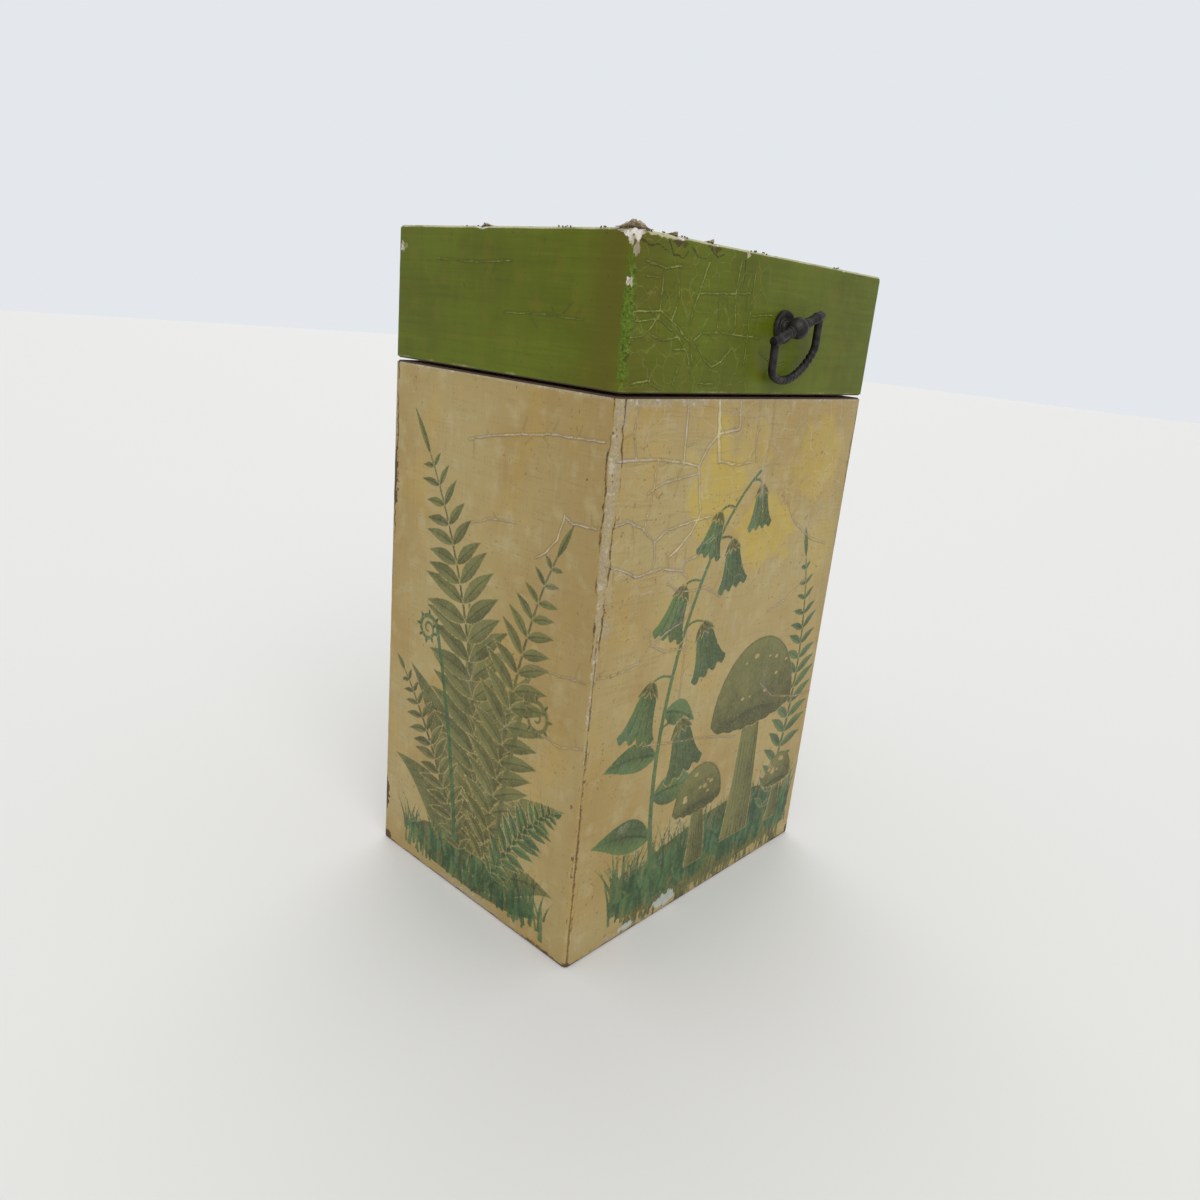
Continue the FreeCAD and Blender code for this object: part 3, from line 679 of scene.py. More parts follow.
class Finish(Graph):
    # a material whose colour is laid on in coats, named as in its look
    def __init__(self, name, look):
        self.material = bpy.data.materials.new(name)
        self.material.use_nodes = True
        super().__init__(self.material.node_tree)
        self.tree.nodes.clear()
        self.look = look
        self.place = self.vector("SCALE", self.add("ShaderNodeTexCoord", out="Object"), 1000.0)

    def along(self, axis):
        # the place along one axis, in millimetres
        return self.add("ShaderNodeSeparateXYZ", {}, {"Vector": self.place}, out=axis)

    def field(self, name):
        return self.add("ShaderNodeAttribute", {"attribute_name": name}, out="Fac")

    def noise(self, size, detail=2.0, stretch=(1, 1, 1), roughness=0.55, shift=0.0):
        # size is in millimetres; a stretch over 1 draws the pattern out along that axis
        at = self.vector("DIVIDE", self.place, stretch)
        at = self.vector("ADD", at, (shift, shift * 0.7, shift * 1.3))
        return self.add("ShaderNodeTexNoise", {}, {"Vector": at, "Scale": 1.0 / size, "Detail": detail,
                                                   "Roughness": roughness})

    def cellEdges(self, size, warp):
        push = self.add("ShaderNodeTexNoise", {}, {"Vector": self.place, "Scale": 1.4 / size}, out="Color")
        at = self.vector("ADD", self.place, self.vector("SCALE", push, warp))
        return self.add("ShaderNodeTexVoronoi", {"feature": "DISTANCE_TO_EDGE"},
                        {"Vector": at, "Scale": 1.0 / size}) * size

    def blend(self, factor, first, second):
        first, second = (c if isinstance(c, Wire) else screenColour(*self.look[c]) for c in (first, second))
        return self.add("ShaderNodeMix", {"data_type": "RGBA"}, {0: factor, 6: first, 7: second}, out=2)

    def ground(self, factor, first, second):
        self.colour = self.blend(factor, first, second)

    def coat(self, factor, colour):
        self.colour = self.blend(factor, self.colour, colour)

    def patch(self, name, fine, middle, gains, low, high):
        # a soft patch with ragged edges
        start, fineGain, middleGain = gains
        return (self.field(name) * (start + fine * fineGain + (middle - 0.5) * middleGain)).ease(low, high)

    def ridges(self, fine):
        # raised cracks, and painted shade beside them
        crack = self.field("crack") + (fine - 0.5) * 0.4
        raised = crack.ease(-0.04, 0.2)
        return raised, crack.ease(-0.55, -0.1) * (1 - raised)

    def done(self, roughness, height=None, depth=0.0, strength=1.0, **inputs):
        if height:
            inputs["Normal"] = self.add("ShaderNodeBump", {}, {"Height": height, "Distance": depth * mm,
                                                               "Strength": strength})
        inputs = {"Base Color": self.colour, "Roughness": roughness, **inputs}
        self.add("ShaderNodeOutputMaterial", {}, {"Surface": self.add("ShaderNodeBsdfPrincipled", {}, inputs)})
        return self.material


printLook = {
    "paper": (164, 146, 98),
    "paperDeep": (153, 128, 74),
    "paperGold": (176, 146, 70),
    "paperPale": (176, 162, 122),
    "paperOld": (146, 122, 72),
    "thread": (134, 110, 62),
    "wash": (182, 158, 58),
    "leafLight": (102, 106, 60),
    "leafDark": (52, 62, 32),
    "tealLight": (78, 108, 64),
    "tealBlue": (70, 108, 88),
    "tealDark": (36, 68, 44),
    "fineLine": (44, 54, 32),
    "crackPale": (194, 182, 148),
    "crackLilac": (176, 164, 156),
    "crackShade": (122, 98, 60),
    "speck": (104, 72, 38),
    "milky": (176, 168, 148),
    "rub": (146, 137, 120),
    "rubWarm": (170, 154, 118),
    "rubWhite": (198, 195, 186),
    "bare": (172, 180, 172),
    "stain": (66, 40, 22),
    "scar": (84, 54, 34),
    "gloss": 0.4,
    "shine": 0.22,
}


def printedPaper():
    look = printLook
    f = Finish("printed_paper_old_varnish", look)
    broad, middle, fine = f.noise(30, 3), f.noise(6.5, 4, shift=9), f.noise(0.7, 3, shift=3)
    grain = f.noise(0.28, 2, shift=5)
    threads = f.noise(0.8, 3, (0.8, 0.8, 15), shift=41)
    weft = f.noise(0.8, 3, (12, 12, 0.8), shift=44)
    f.ground(broad.ease(0.4, 0.68) * 0.7, "paper", "paperDeep")
    f.coat(f.noise(15, 4, (1, 1, 1.6), shift=33).ease(0.5, 0.7) * 0.36, "paperGold")
    f.coat(f.field("age") * (0.5 + middle * 0.8), "paperOld")
    f.coat(middle.ease(0.48, 0.74) * 0.5, "paperPale")
    f.coat((threads * 0.5 + weft * 0.5).ease(0.5, 0.66) * 0.3, "thread")
    f.coat((f.field("wash") * (0.5 + 0.7 * f.noise(5, 4, shift=2))).ease(0.1, 0.95) * 0.7, "wash")

    # printed inks: rough at the edges, with the paper's tooth showing through
    ragged = (fine - 0.5) * 0.5 + (grain - 0.5) * 0.3
    tooth = 0.76 + 0.24 * (grain * 0.6 + fine * 0.4).ease(0.38, 0.56)
    pull = (f.noise(9, 3, shift=52) - 0.5) * 1.1
    tone = (f.field("tone") + (f.noise(1.6, 4, shift=7) - 0.5) * 0.8 + pull).ease(0.02, 1.0)
    teal = f.blend(f.noise(12, 2, shift=61).ease(0.5, 0.62) * 0.5, "tealLight", "tealBlue")
    for ink, cover, light, dark in (("leafInk", 0.92, "leafLight", "leafDark"), ("tealInk", 0.94, teal, "tealDark")):
        f.coat((f.field(ink) + ragged).ease(-0.16, 0.22) * tooth * cover, f.blend(tone, light, dark))
    f.coat((f.field("fineLine") + ragged * 0.5).ease(-0.28, 0.08) * tooth * 0.6, "fineLine")

    # varnish that has crazed into raised pale lines, each with a painted shadow line beside it
    crack, shade = f.ridges(fine)
    netMask = (f.field("crackle") * (0.35 + middle)).ease(0.35, 0.85)
    lines = crack.larger((1 - f.cellEdges(9.5, 5.0).ease(0.06, 0.26)) * netMask * 0.36)
    # crackShade is painted shade beside each raised crack
    f.coat(shade * 0.26, "crackShade")
    f.coat(lines * (0.36 + 0.5 * f.noise(5.5, 3, shift=14).ease(0.32, 0.62)),
           f.blend(f.noise(9, 2, shift=12).ease(0.4, 0.6), "crackPale", "crackLilac"))

    # specks, milky smears, rubbed edges, stains and dark scars
    f.coat(f.noise(1.2, 1, shift=20).ease(0.68, 0.73) * f.noise(17, 2, shift=23).ease(0.38, 0.6) * 0.55, "speck")
    smears = f.noise(8, 4, (0.7, 0.7, 3), shift=83).ease(0.6, 0.74)
    f.coat(smears * (0.3 + f.field("crackle")) * 0.34, "milky")
    rub = f.patch("rub", fine, middle, (0.45, 0.9, 1.0), 0.3, 0.72)
    rubColour = f.blend(fine.ease(0.42, 0.62), "rub", "rubWarm")
    f.coat(rub * 0.7, f.blend(f.noise(2.4, 3, shift=71).ease(0.58, 0.66) * 0.6, rubColour, "rubWhite"))
    f.coat(f.patch("bare", fine, middle, (0.5, 0.7, 1.0), 0.3, 0.6) * 0.8, "bare")
    stain = f.patch("stain", fine, middle, (0.4, 0.9, 0.9), 0.3, 0.68)
    f.coat(stain * 0.85, "stain")
    scar = (f.field("scar") + (fine - 0.5) * 0.55 + (middle - 0.55) * 0.5).ease(-0.12, 0.1)
    f.coat(scar * 0.7, "scar")

    wrinkle = f.noise(2.6, 3, (0.6, 0.6, 7), shift=31) * 0.5 + f.noise(2.8, 3, (7, 7, 0.6), shift=37) * 0.5
    puckers = f.noise(3.4, 2, (5, 5, 0.8), shift=66).ease(0.52, 0.72) * f.field("crackle")
    height = (lines * 0.9 - shade * 0.3 + fine * 0.14 + grain * 0.1 + middle * 0.45 + wrinkle + puckers * 1.1
              - rub * 0.2 - stain * 0.3 - scar * 0.4)
    gloss = look["gloss"] + (middle - 0.5) * 0.2 + lines * 0.1 + rub * 0.25 + stain * 0.25
    return f.done(gloss, height, 0.2, **{"Specular IOR Level": look["shine"]})


lidLook = {
    "olive": (81, 89, 6),
    "oliveBright": (88, 99, 10),
    "oliveBrown": (88, 78, 14),
    "strokeDark": (74, 74, 8),
    "strokeLight": (100, 110, 26),
    "strokeWarm": (104, 96, 22),
    "ridge": (140, 152, 76),
    "ridgeShade": (62, 64, 8),
    "edge": (70, 92, 14),
    "edgeLight": (92, 116, 34),
    "edgeGap": (58, 56, 14),
    "speck": (58, 54, 20),
    "stain": (64, 46, 24),
    "scar": (52, 40, 20),
    "rub": (196, 190, 156),
    "raw": (214, 208, 200),
    "rawLilac": (138, 122, 134),
    "rawOlive": (150, 142, 104),
    "rawDirt": (118, 96, 70),
    "gloss": 0.42,
    "shine": 0.16,
}


def greenPaper():
    look = lidLook
    f = Finish("green_painted_paper", look)
    broad, middle, fine = f.noise(26, 3, shift=2), f.noise(4.5, 4, shift=8), f.noise(0.6, 3, shift=6)
    strokes = f.noise(1.8, 5, (18, 18, 0.7), shift=11) * 0.66 + f.noise(4.0, 4, (0.7, 0.7, 9), shift=15) * 0.34
    f.ground(broad.ease(0.38, 0.64), "olive", "oliveBright")
    f.coat(strokes.ease(0.5, 0.66) * 0.42, "strokeDark")
    f.coat((1 - strokes.ease(0.34, 0.48)) * 0.32, "strokeLight")
    f.coat(f.noise(7, 3, shift=48).ease(0.52, 0.7) * 0.35, "strokeWarm")
    f.coat(f.field("brown") * (0.4 + 0.6 * middle), "oliveBrown")
    edge = (f.field("edge") * (0.3 + fine * 0.8 + (middle - 0.3))).ease(0.3, 0.75)
    f.coat(edge * 0.85, f.blend(fine.ease(0.4, 0.62), "edge", "edgeLight"))
    f.coat(edge * f.noise(1.5, 3, shift=57).ease(0.56, 0.64) * 0.7, "edgeGap")
    ridge, shade = f.ridges(fine)
    netMask = (f.field("crackle") * (0.4 + f.noise(8, 2, shift=3))).ease(0.35, 0.85)
    lines = ridge.larger((1 - f.cellEdges(6.4, 3.4).ease(0.05, 0.22)) * netMask * 0.3)
    # ridgeShade is painted shade beside each raised ridge
    f.coat(shade * 0.2, "ridgeShade")
    # the pale ridge colour is partly a painted highlight on the ridge tops
    f.coat(lines * (0.26 + 0.5 * f.noise(3, 3, shift=14).ease(0.42, 0.6)), "ridge")
    f.coat(f.noise(1.1, 1, shift=25).ease(0.72, 0.76) * 0.45, "speck")
    f.coat(f.patch("stain", fine, middle, (0.4, 0.9, 0.8), 0.3, 0.7) * 0.8, "stain")
    scar = (f.field("scar") + (fine - 0.5) * 0.5).ease(-0.12, 0.1)
    f.coat(scar * 0.75, "scar")
    # rubbed paint, and along the lid's top edges also a painted highlight
    rub = f.patch("rub", fine, middle, (0.45, 0.9, 1.0), 0.3, 0.75)
    f.coat(rub * 0.72, "rub")
    chip = (f.field("chip") + (fine - 0.5) * 0.8).ease(-0.1, 0.16)
    raw = f.blend(f.field("lilac") * middle.ease(0.3, 0.5), "raw", "rawLilac")
    raw = f.blend(f.noise(3.1, 3, shift=77).ease(0.44, 0.56) * 0.75, raw, "rawOlive")
    f.coat(chip, f.blend(fine.ease(0.54, 0.7) * 0.6, raw, "rawDirt"))
    height = lines - shade * 0.4 + fine * (0.14 + edge * 0.8) + middle * 0.3 + strokes * 0.8 - chip * 0.5 - scar * 0.5
    gloss = look["gloss"] + (middle - 0.5) * 0.2 + chip * 0.4 + rub * 0.25 + edge * 0.12
    return f.done(gloss, height, 0.22, **{"Specular IOR Level": look["shine"]})


woodLook = {
    "light": (184, 154, 112),
    "dark": (150, 114, 74),
    "pore": (96, 64, 38),
    "aged": (106, 78, 50),
    "grime": (58, 42, 28),
    "rings": 3.4,
    "gloss": 0.62,
}


def bareWood(name, along):
    # along is the axis of the grain, 0 for x to 2 for z
    f = Finish(name, woodLook)
    stretch, tight = [1.0, 1.0, 1.0], [1.0, 1.0, 1.0]
    stretch[along], tight[along] = 11.0, 26.0
    rings = f.noise(woodLook["rings"], 3, stretch, 0.5, along * 13.0)
    bands = f.math("SINE", rings * 31.0) * 0.5 + 0.5
    pores = f.noise(0.35, 2, tight, shift=4)
    age = f.noise(22, 3, shift=17)
    f.ground(bands * 0.55 + rings * 0.3, "light", "dark")
    f.coat(pores.ease(0.56, 0.7) * 0.5, "pore")
    f.coat(age.ease(0.45, 0.75) * 0.4, "aged")
    # grime and painted shade on the rims: dark in the gap where the lid meets the body, where shade falls, and darker
    # at the foot, most of all at the outside
    x, y, z = (f.along(axis) for axis in "XYZ")
    width, depth, top, low = (boxLook[key] for key in ("width", "depth", "bodyTop", "lidFoot"))
    jointShade = z.ease(top - 1.9, top - 0.6) * (1 - z.ease(low + 0.2, low + 1.5))
    foot = 1 - z.ease(0.1, 0.9)
    away = (f.math("ABSOLUTE", x) - (width / 2 - 0.4)).larger(f.math("ABSOLUTE", y) - (depth / 2 - 0.45))
    outside = away.ease(-4.5, -0.6)
    # the grime colour here is painted shade in the lid gap as well as grime
    f.coat(jointShade.larger(foot) * (0.22 + 0.2 * age + outside * 0.6), "grime")
    return f.done(woodLook["gloss"] + pores * 0.2, bands * 0.3 + pores * 0.7, 0.07, 0.8)


# each metal: base, worn and grime colours, roughness, metallic, pits, and where its base colour ends
metalLook = {
    "dark_bronze_patina": ((40, 37, 36), (70, 66, 62), (22, 19, 17), 0.46, 0.75, 1.0, 0.75),
    "hinge_brass_tarnished": ((168, 130, 70), (196, 160, 92), (84, 62, 36), 0.34, 1.0, 0.6, 0.62),
    "screw_brass": ((176, 140, 78), (200, 168, 104), (90, 68, 40), 0.3, 1.0, 0.6, 0.62),
    "fixing_steel_dull": ((142, 142, 140), (172, 172, 170), (92, 84, 76), 0.36, 1.0, 0.6, 0.62),
    "pin_steel_rusty": ((120, 104, 92), (148, 142, 136), (98, 58, 34), 0.5, 1.0, 0.6, 0.62),
}


def agedMetal(name):
    base, worn, grime, roughness, metallic, pits, high = metalLook[name]
    f = Finish(name, {"base": base, "worn": worn, "grime": grime})
    broad, fine, tiny = f.noise(2.6, 3), f.noise(0.55, 3, shift=4), f.noise(0.18, 2, shift=9)
    f.ground(broad.ease(0.4, high), "base", "worn")
    dirty = (fine * 0.6 + broad * 0.4).ease(0.5, 0.64)
    f.coat(dirty * 0.75, "grime")
    return f.done(roughness + dirty * 0.25 + (tiny - 0.5) * 0.12, fine * 0.6 + tiny * 0.4, 0.05, pits,
                  Metallic=metallic - dirty * 0.45)


# torn paper at the front left corner of the lid, and crumbs of paint on its edges
tornLook = {
    "corner": (-62.0, -47.25),
    "reach": 4.2,
    "half": 4.6,
    "lift": 1.65,
    "thick": 0.2,
    "crumbs": 200,
    "crumbSize": 0.36,
    "raw": (182, 168, 142),
    "dirt": (128, 104, 74),
    "fibre": (214, 204, 186),
    "crumbOlive": (98, 92, 44),
    "crumbBrown": (78, 62, 38),
}


def tornPaper():
    f = Finish("torn_paper_back", tornLook)
    f.ground(f.noise(1.4, 4).ease(0.36, 0.62), "raw", "dirt")
    f.coat(f.noise(0.4, 2, shift=3).ease(0.6, 0.7), "fibre")
    return f.done(0.85, f.noise(0.5, 3, shift=5), 0.06)


def crumbPaint():
    f = Finish("paint_crumbs", tornLook)
    f.ground(f.noise(2.2, 2).ease(0.42, 0.6), "crumbOlive", "crumbBrown")
    return f.done(0.8)


finishes = {
    "paper": printedPaper(),
    "green": greenPaper(),
    "woodUp": bareWood("bare_wood_upright_grain", 2),
    "woodAcross": bareWood("bare_wood_grain_along_x", 0),
    "woodDeep": bareWood("bare_wood_grain_along_y", 1),
    "bronze": agedMetal("dark_bronze_patina"),
    "brass": agedMetal("hinge_brass_tarnished"),
    "screwBrass": agedMetal("screw_brass"),
    "steel": agedMetal("fixing_steel_dull"),
    "pins": agedMetal("pin_steel_rusty"),
    "torn": tornPaper(),
    "crumbs": crumbPaint(),
}
print("finishes made:", len(finishes))

# the CAD's own pieces that show as they are
nodeFinish = {
    "woodUp": ("front_board", "back_board", "left_board", "right_board"),
    "woodAcross": ("base_board", "lid_front_rail", "lid_back_rail", "lid_top_board"),
    "woodDeep": ("lid_left_rail", "lid_right_rail"),
    "pins": ("body_corner_pins", "base_pins", "lid_corner_pins", "lid_top_pins"),
    "brass": ("left_hinge_body_leaf", "right_hinge_body_leaf", "left_hinge_lid_leaf", "right_hinge_lid_leaf"),
    "steel": ("left_hinge_pin", "right_hinge_pin", "pull_washer", "pull_nut"),
    "screwBrass": ("body_hinge_screws", "lid_hinge_screws"),
}
for finishName, nodeNames in nodeFinish.items():
    for nodeName in nodeNames:
        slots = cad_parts[nodeName].data.materials
        if len(slots) == 0:
            slots.append(finishes[finishName])
        for index in range(len(slots)):
            slots[index] = finishes[finishName]


# wear on the papers
def cornerWear(sheet, amount, seed, leftWide, rightWide):
    # paint and paper rubbed off down the upright corners, broader towards the top
    u, v = sheet.u, sheet.v
    for hand, (edge, wide) in enumerate(((sheet.across[0], leftWide), (sheet.across[-1], rightWide))):
        away = np.abs(u - edge)
        broader = wide * (0.36 + 0.64 * (1 - ease(v, 12, 95)))
        ragged = (broader * (0.6 + 0.7 * softNoise(v, 0.0, 9.0, seed + hand))
                  + (roughNoise(u, v, 2.0, seed + 5) - 0.5) * 1.1)
        strength = (amount * (0.46 + 0.54 * (1 - ease(v, 50, 140)))
                    * (0.72 + 0.5 * roughNoise(u, v, 3.2, seed + 9)))
        sheet.atLeast("rub", strength * (1 - ease(away, ragged * 0.5, ragged * 1.3)))
        patchy = (1.5 - 0.7 * ease(v, 40, 90)) * roughNoise(u, v, 7.0, seed + 12)
        sheet.atLeast("stain", np.exp(-((away - ragged * 1.1 - 0.2) / 0.5) ** 2) * patchy.clip(0, 0.85) * amount)


def scarAlong(sheet, u, top, bottom, half, seed, gaps):
    # a broken dark line that runs down a corner
    rng = np.random.default_rng(seed)
    v = top
    while v < bottom:
        run = rng.uniform(2, 9)
        if rng.random() > gaps:
            points = [(u + rng.normal(0, 0.25), v + run * k / 4) for k in range(5)]
            sheet.stroke("scar", points, half * rng.uniform(0.5, 1.3), half * rng.uniform(0.1, 0.8))
        v += run


def chipOutline(u, v, wide, high, seed):
    rng = np.random.default_rng(seed)
    turn = np.linspace(0, 2 * math.pi, 15)[:-1]
    size = rng.uniform(0.6, 1.2, 14)
    return np.stack([u + np.cos(turn) * wide * size, v + np.sin(turn) * high * size], 1)


# the sides of the body; depths of the relief in millimetres
bodyWear = {"base": 0.11, "wave": 0.05, "grain": 0.03, "ridge": 0.1, "rub": 0.05, "stain": 0.1, "seam": 0.16}


def bodySide(side, draw, cracks, crackle, step, seed):
    sheet = SideSheet(side, bodyProfile, step, "paper")
    u, v, width, top = sheet.u, sheet.v, sheet.across[-1], boxLook["bodyTop"]
    draw(sheet)
    drawCracks(sheet, cracks, seed)
    sheet.fields["crackle"] += crackle(u, v)
    cornerWear(sheet, 0.95, seed, boxLook["seamWidth"], boxLook["seamWidth"] * 0.75)
    ends = np.minimum(u, width - u)
    border = np.minimum(ends, np.minimum(v, top - v))
    sheet.fields["age"] += 0.4 * np.exp(-np.clip(border, 0, 99) / 9.0)
    # the foot is worn through and dirty, most of all at its ends; the rim is pale
    reach = 0.7 + 0.7 * np.exp(-ends / 4.0) + (roughNoise(u, v, 5.0, seed + 8) - 0.5) * 1.4
    sheet.atLeast("stain", 1 - ease(top - 0.2 - v, reach * 0.3, np.maximum(reach, 0.35)))
    sheet.atLeast("rub", 0.9 * (1 - ease(v, 0.5, 1.0 + roughNoise(u, v, 7.0, seed + 9) * 1.3)))
    return sheet


def coverBody(sheet, seed):
    look, fields, u, v = bodyWear, sheet.fields, sheet.u, sheet.v
    relief = (-look["base"] + (roughNoise(u, v, 16.0, 70 + seed) - 0.5) * look["wave"]
              + (roughNoise(u, v, 1.6, 75 + seed) - 0.5) * look["grain"]
              + ease(fields["crack"], -0.25, 0.2) * look["ridge"] - ease(fields["rub"], 0.3, 1.0) * look["rub"]
              - ease(fields["stain"], 0.4, 1.0) * look["stain"])
    name = sheet.side + "_print"
    fans = [(3, len(sheet.down) - 4, *sheet.flatColumns)]
    mesh = sheet.cover(name, np.clip(relief, -0.3, 0.0), look["seam"], 400, fans)
    addPiece(name, mesh, "paper", "box", name + "_paper")


front = bodySide("front", drawFrontPrint, frontCracks,
                 lambda u, v: 0.9 * (1 - ease(v + (u - 60) * 0.25, 30, 105)), 0.48, 1)
front.dabs("wash", 50, (47, 24, 15, 19, 0.8), (76, 42, 18, 13, 0.75), (101, 18, 19, 15, 0.6),
           (30, 62, 9, 8, 0.35), (112, 52, 9, 16, 0.5), (64, 14, 12, 9, 0.5))
front.dabs("rub", 51, (3.5, 61, 2.2, 3, 0.8), (21, 128, 5, 2.4, 0.5), (12, 1.2, 14, 1.7, 0.95),
           (30, 1.0, 9, 1.5, 0.9), (96, 1.0, 12, 1.2, 0.5), (24, 166.6, 16, 1.6, 0.6), (8, 163, 7, 3.5, 0.45),
           (2.5, 3, 3, 6, 0.8))
front.dabs("stain", 52, (0.8, 167.4, 1.2, 1.0, 0.7), (122.8, 166.2, 1.8, 2.4, 0.85), (114, 167.8, 7, 0.9, 0.7))
front.dabs("bare", 59, (46, 164.6, 6, 2.8, 0.95), (27, 165.8, 4, 1.6, 0.95))
scarAlong(front, 0.9, 64, 166, 0.16, 90, 0.4)
scarAlong(front, 123.2, 10, 160, 0.14, 91, 0.7)
front.specks(900, (0.5, 8, 0.5), (0.7, 9.6, 0.4), (0.5, 19.5, 0.6), (0.8, 21, 0.4), (1.0, 106, 0.7),
             (0.6, 115, 0.5), (0.7, 131, 0.5), (20, 92, 0.35), (71, 63, 0.3))
# the seam: a thin dark line in its lower half, with a brown border
darkLine = [(0.7, 62), (0.9, 84), (0.6, 104), (0.8, 126), (0.7, 148), (0.9, 167)]
front.stroke("scar", roughLine(darkLine, np.random.default_rng(8), 0.12), 0.16, 0.3)
front.dabs("stain", 58, (0.5, 118, 1.1, 46, 0.5))
coverBody(front, 1)

left = bodySide("left", drawLeftPrint, leftCracks,
                lambda u, v: 0.25 * ease(u, 40, 90) * (1 - ease(v, 20, 90)), 0.44, 2)
left.dabs("rub", 53, (8.5, 113, 2.2, 3, 0.6), (49, 8, 1.6, 4, 0.45), (46, 167.2, 20, 2.2, 0.7))
left.dabs("stain", 54, (1.4, 36, 2.6, 11, 1.0), (1.2, 151, 2.2, 8, 0.95), (93.8, 167.4, 1.2, 1.0, 0.7),
          (2, 166.5, 3.4, 2.4, 0.9), (0.4, 88, 0.8, 3, 0.5), (82, 167.6, 10, 0.9, 0.7))
scarAlong(left, 93.4, 96, 160, 0.16, 92, 0.5)
left.specks(940, (57, 2, 0.6), (86, 22, 0.55), (91, 115, 0.75), (61, 144, 0.5), (93.2, 131, 0.7),
            (93.4, 9, 0.5), (93.5, 137, 0.6), (70, 31, 0.3), (24, 60, 0.3))
left.atLeast("age", 0.75 * ease(left.u, 44, 92) * (1 - ease(left.v, 60, 130)))
coverBody(left, 2)

right = bodySide("right", lambda sheet: drawLeftPrint(sheet, True), looseCracks(9, 94, 110, 61),
                 lambda u, v: 0.5 * (1 - ease(v, 15, 80)), 0.62, 3)
right.dabs("stain", 55, (93.8, 40, 1.3, 8, 0.9), (1, 167, 2.2, 1.8, 0.85), (93.2, 167.2, 2.0, 1.4, 0.85))
coverBody(right, 3)

back = bodySide("back", drawBackPrint, looseCracks(12, 124, 130, 62),
                lambda u, v: 0.5 * (1 - ease(v, 15, 90)), 0.68, 4)
back.dabs("wash", 56, (60, 40, 26, 20, 0.6))
back.dabs("stain", 57, (1, 167, 2.2, 1.8, 0.85), (123, 167, 2.2, 1.8, 0.85), (62, 167.4, 14, 1.2, 0.7))
coverBody(back, 4)
print("body sides covered")

# the sides and the top of the lid; depths of the relief in millimetres
lidWear = {"base": 0.12, "wave": 0.05, "grain": 0.035, "edgeGrain": 0.12, "ridge": 0.11, "chip": 0.2, "seam": 0.14,
           "edgeChips": 11, "topBase": 0.1, "topWave": 0.05, "topGrain": 0.04, "topRidge": 0.09}


def lidSide(side, ridges, chips, crackle, step, seed):
    sheet = SideSheet(side, lidProfile, step, "green")
    u, v, width = sheet.u, sheet.v, sheet.across[-1]
    drawCracks(sheet, ridges, seed)
    sheet.fields["crackle"] += crackle(u, v)
    for number, chip in enumerate(chips):
        sheet.fill("chip", chipOutline(*chip, seed * 40 + number))
    rng = np.random.default_rng(seed + 300)
    for _ in range(lidWear["edgeChips"]):
        size = rng.uniform(0.2, 0.55)
        outline = chipOutline(rng.uniform(0, width), rng.uniform(-1.0, 0.5), size * 1.8, size, rng.integers(9999))
        sheet.fill("chip", outline)
    cornerWear(sheet, 0.25, seed + 20, 0.8, 0.8)
    # a pale line along the rounded top edge: worn paint, and partly a painted highlight where the edge meets the light
    top = (1 - ease(np.abs(v - 0.1), 0.3, 0.9)) * (0.6 + roughNoise(u, v, 9.0, seed + 40) * 0.8)
    sheet.atLeast("rub", top * 0.85)
    lower = 1 - ease(boxLook["lidTop"] - boxLook["lidFoot"] - v, 0.3, 1.1)
    sheet.atLeast("rub", lower * 0.55 * softNoise(u, v, 6.0, seed + 31))
    sheet.atLeast("stain", (1 - ease(v, 0.1, 1.3)) * 0.62 * roughNoise(u, v, 5.0, seed + 30))
    return sheet


def coverLid(sheet, seed):
    look, fields, u, v = lidWear, sheet.fields, sheet.u, sheet.v
    relief = (-look["base"] + (roughNoise(u, v, 12.0, 80 + seed) - 0.5) * look["wave"]
              + (roughNoise(u, v, 1.3, 85 + seed) - 0.5) * (look["grain"] + look["edgeGrain"] * fields["edge"])
              + ease(fields["crack"], -0.25, 0.2) * look["ridge"] - ease(fields["chip"], -0.12, 0.12) * look["chip"])
    upright = int((sheet.tilt == 0).sum()) - 1
    level = int((sheet.tilt < math.pi / 2 - 1e-6).sum())
    fans = [(0, upright - 1, *sheet.flatColumns), (level, len(sheet.down) - 1, *sheet.flatColumns)]
    name = "lid_" + sheet.side
    mesh = sheet.cover(name + "_covering", np.clip(relief, -0.33, 0.0), look["seam"], 500, fans)
    addPiece(name + "_covering", mesh, "green", "lid", name + "_paper")


lidFront = lidSide("front", lidFrontRidges,
                   [(1.2, 1.0, 2.6, 2.2), (3.4, -0.6, 2.4, 1.2), (1.6, 4.6, 1.2, 2.2), (0.5, 12, 0.8, 1.4),
                    (17.5, 0.1, 2.6, 0.9), (32, 0.0, 2.2, 0.8), (47, 1.2, 1.0, 1.1), (60, -0.2, 2.0, 0.6),
                    (88, -0.2, 1.6, 0.5), (107, 0.1, 1.8, 0.5), (123.2, 0.6, 0.8, 1.0)],
                   lambda u, v: 0.95 * (1 - ease(u, 45, 74)), 0.42, 11)
lidFront.dabs("edge", 60, (0.9, 21, 2.0, 19, 1.0))
lidFront.dabs("rub", 61, (10, 0.4, 11, 0.9, 0.95))
lidFront.dabs("rub", 62, (47, 6, 1.2, 4.0, 0.3))
lidFront.dabs("lilac", 69, (1.6, 5.2, 2.6, 2.6, 1.0), (47, 5, 3.0, 4.0, 1.0))
nearCorner = 0.75 * (1 - ease(lidFront.u, 6, 34)) * roughNoise(lidFront.u, lidFront.v, 14.0, 76)
lidFront.atLeast("brown", nearCorner.clip(0, 0.6))
lidFront.dabs("stain", 63, (17, 1.6, 4, 1.2, 0.8), (32, 1.4, 3.4, 1.1, 0.7), (3.4, 6.0, 0.9, 0.9, 0.5),
              (108, 1.0, 5, 0.8, 0.6), (62, 0.9, 6, 0.8, 0.5))
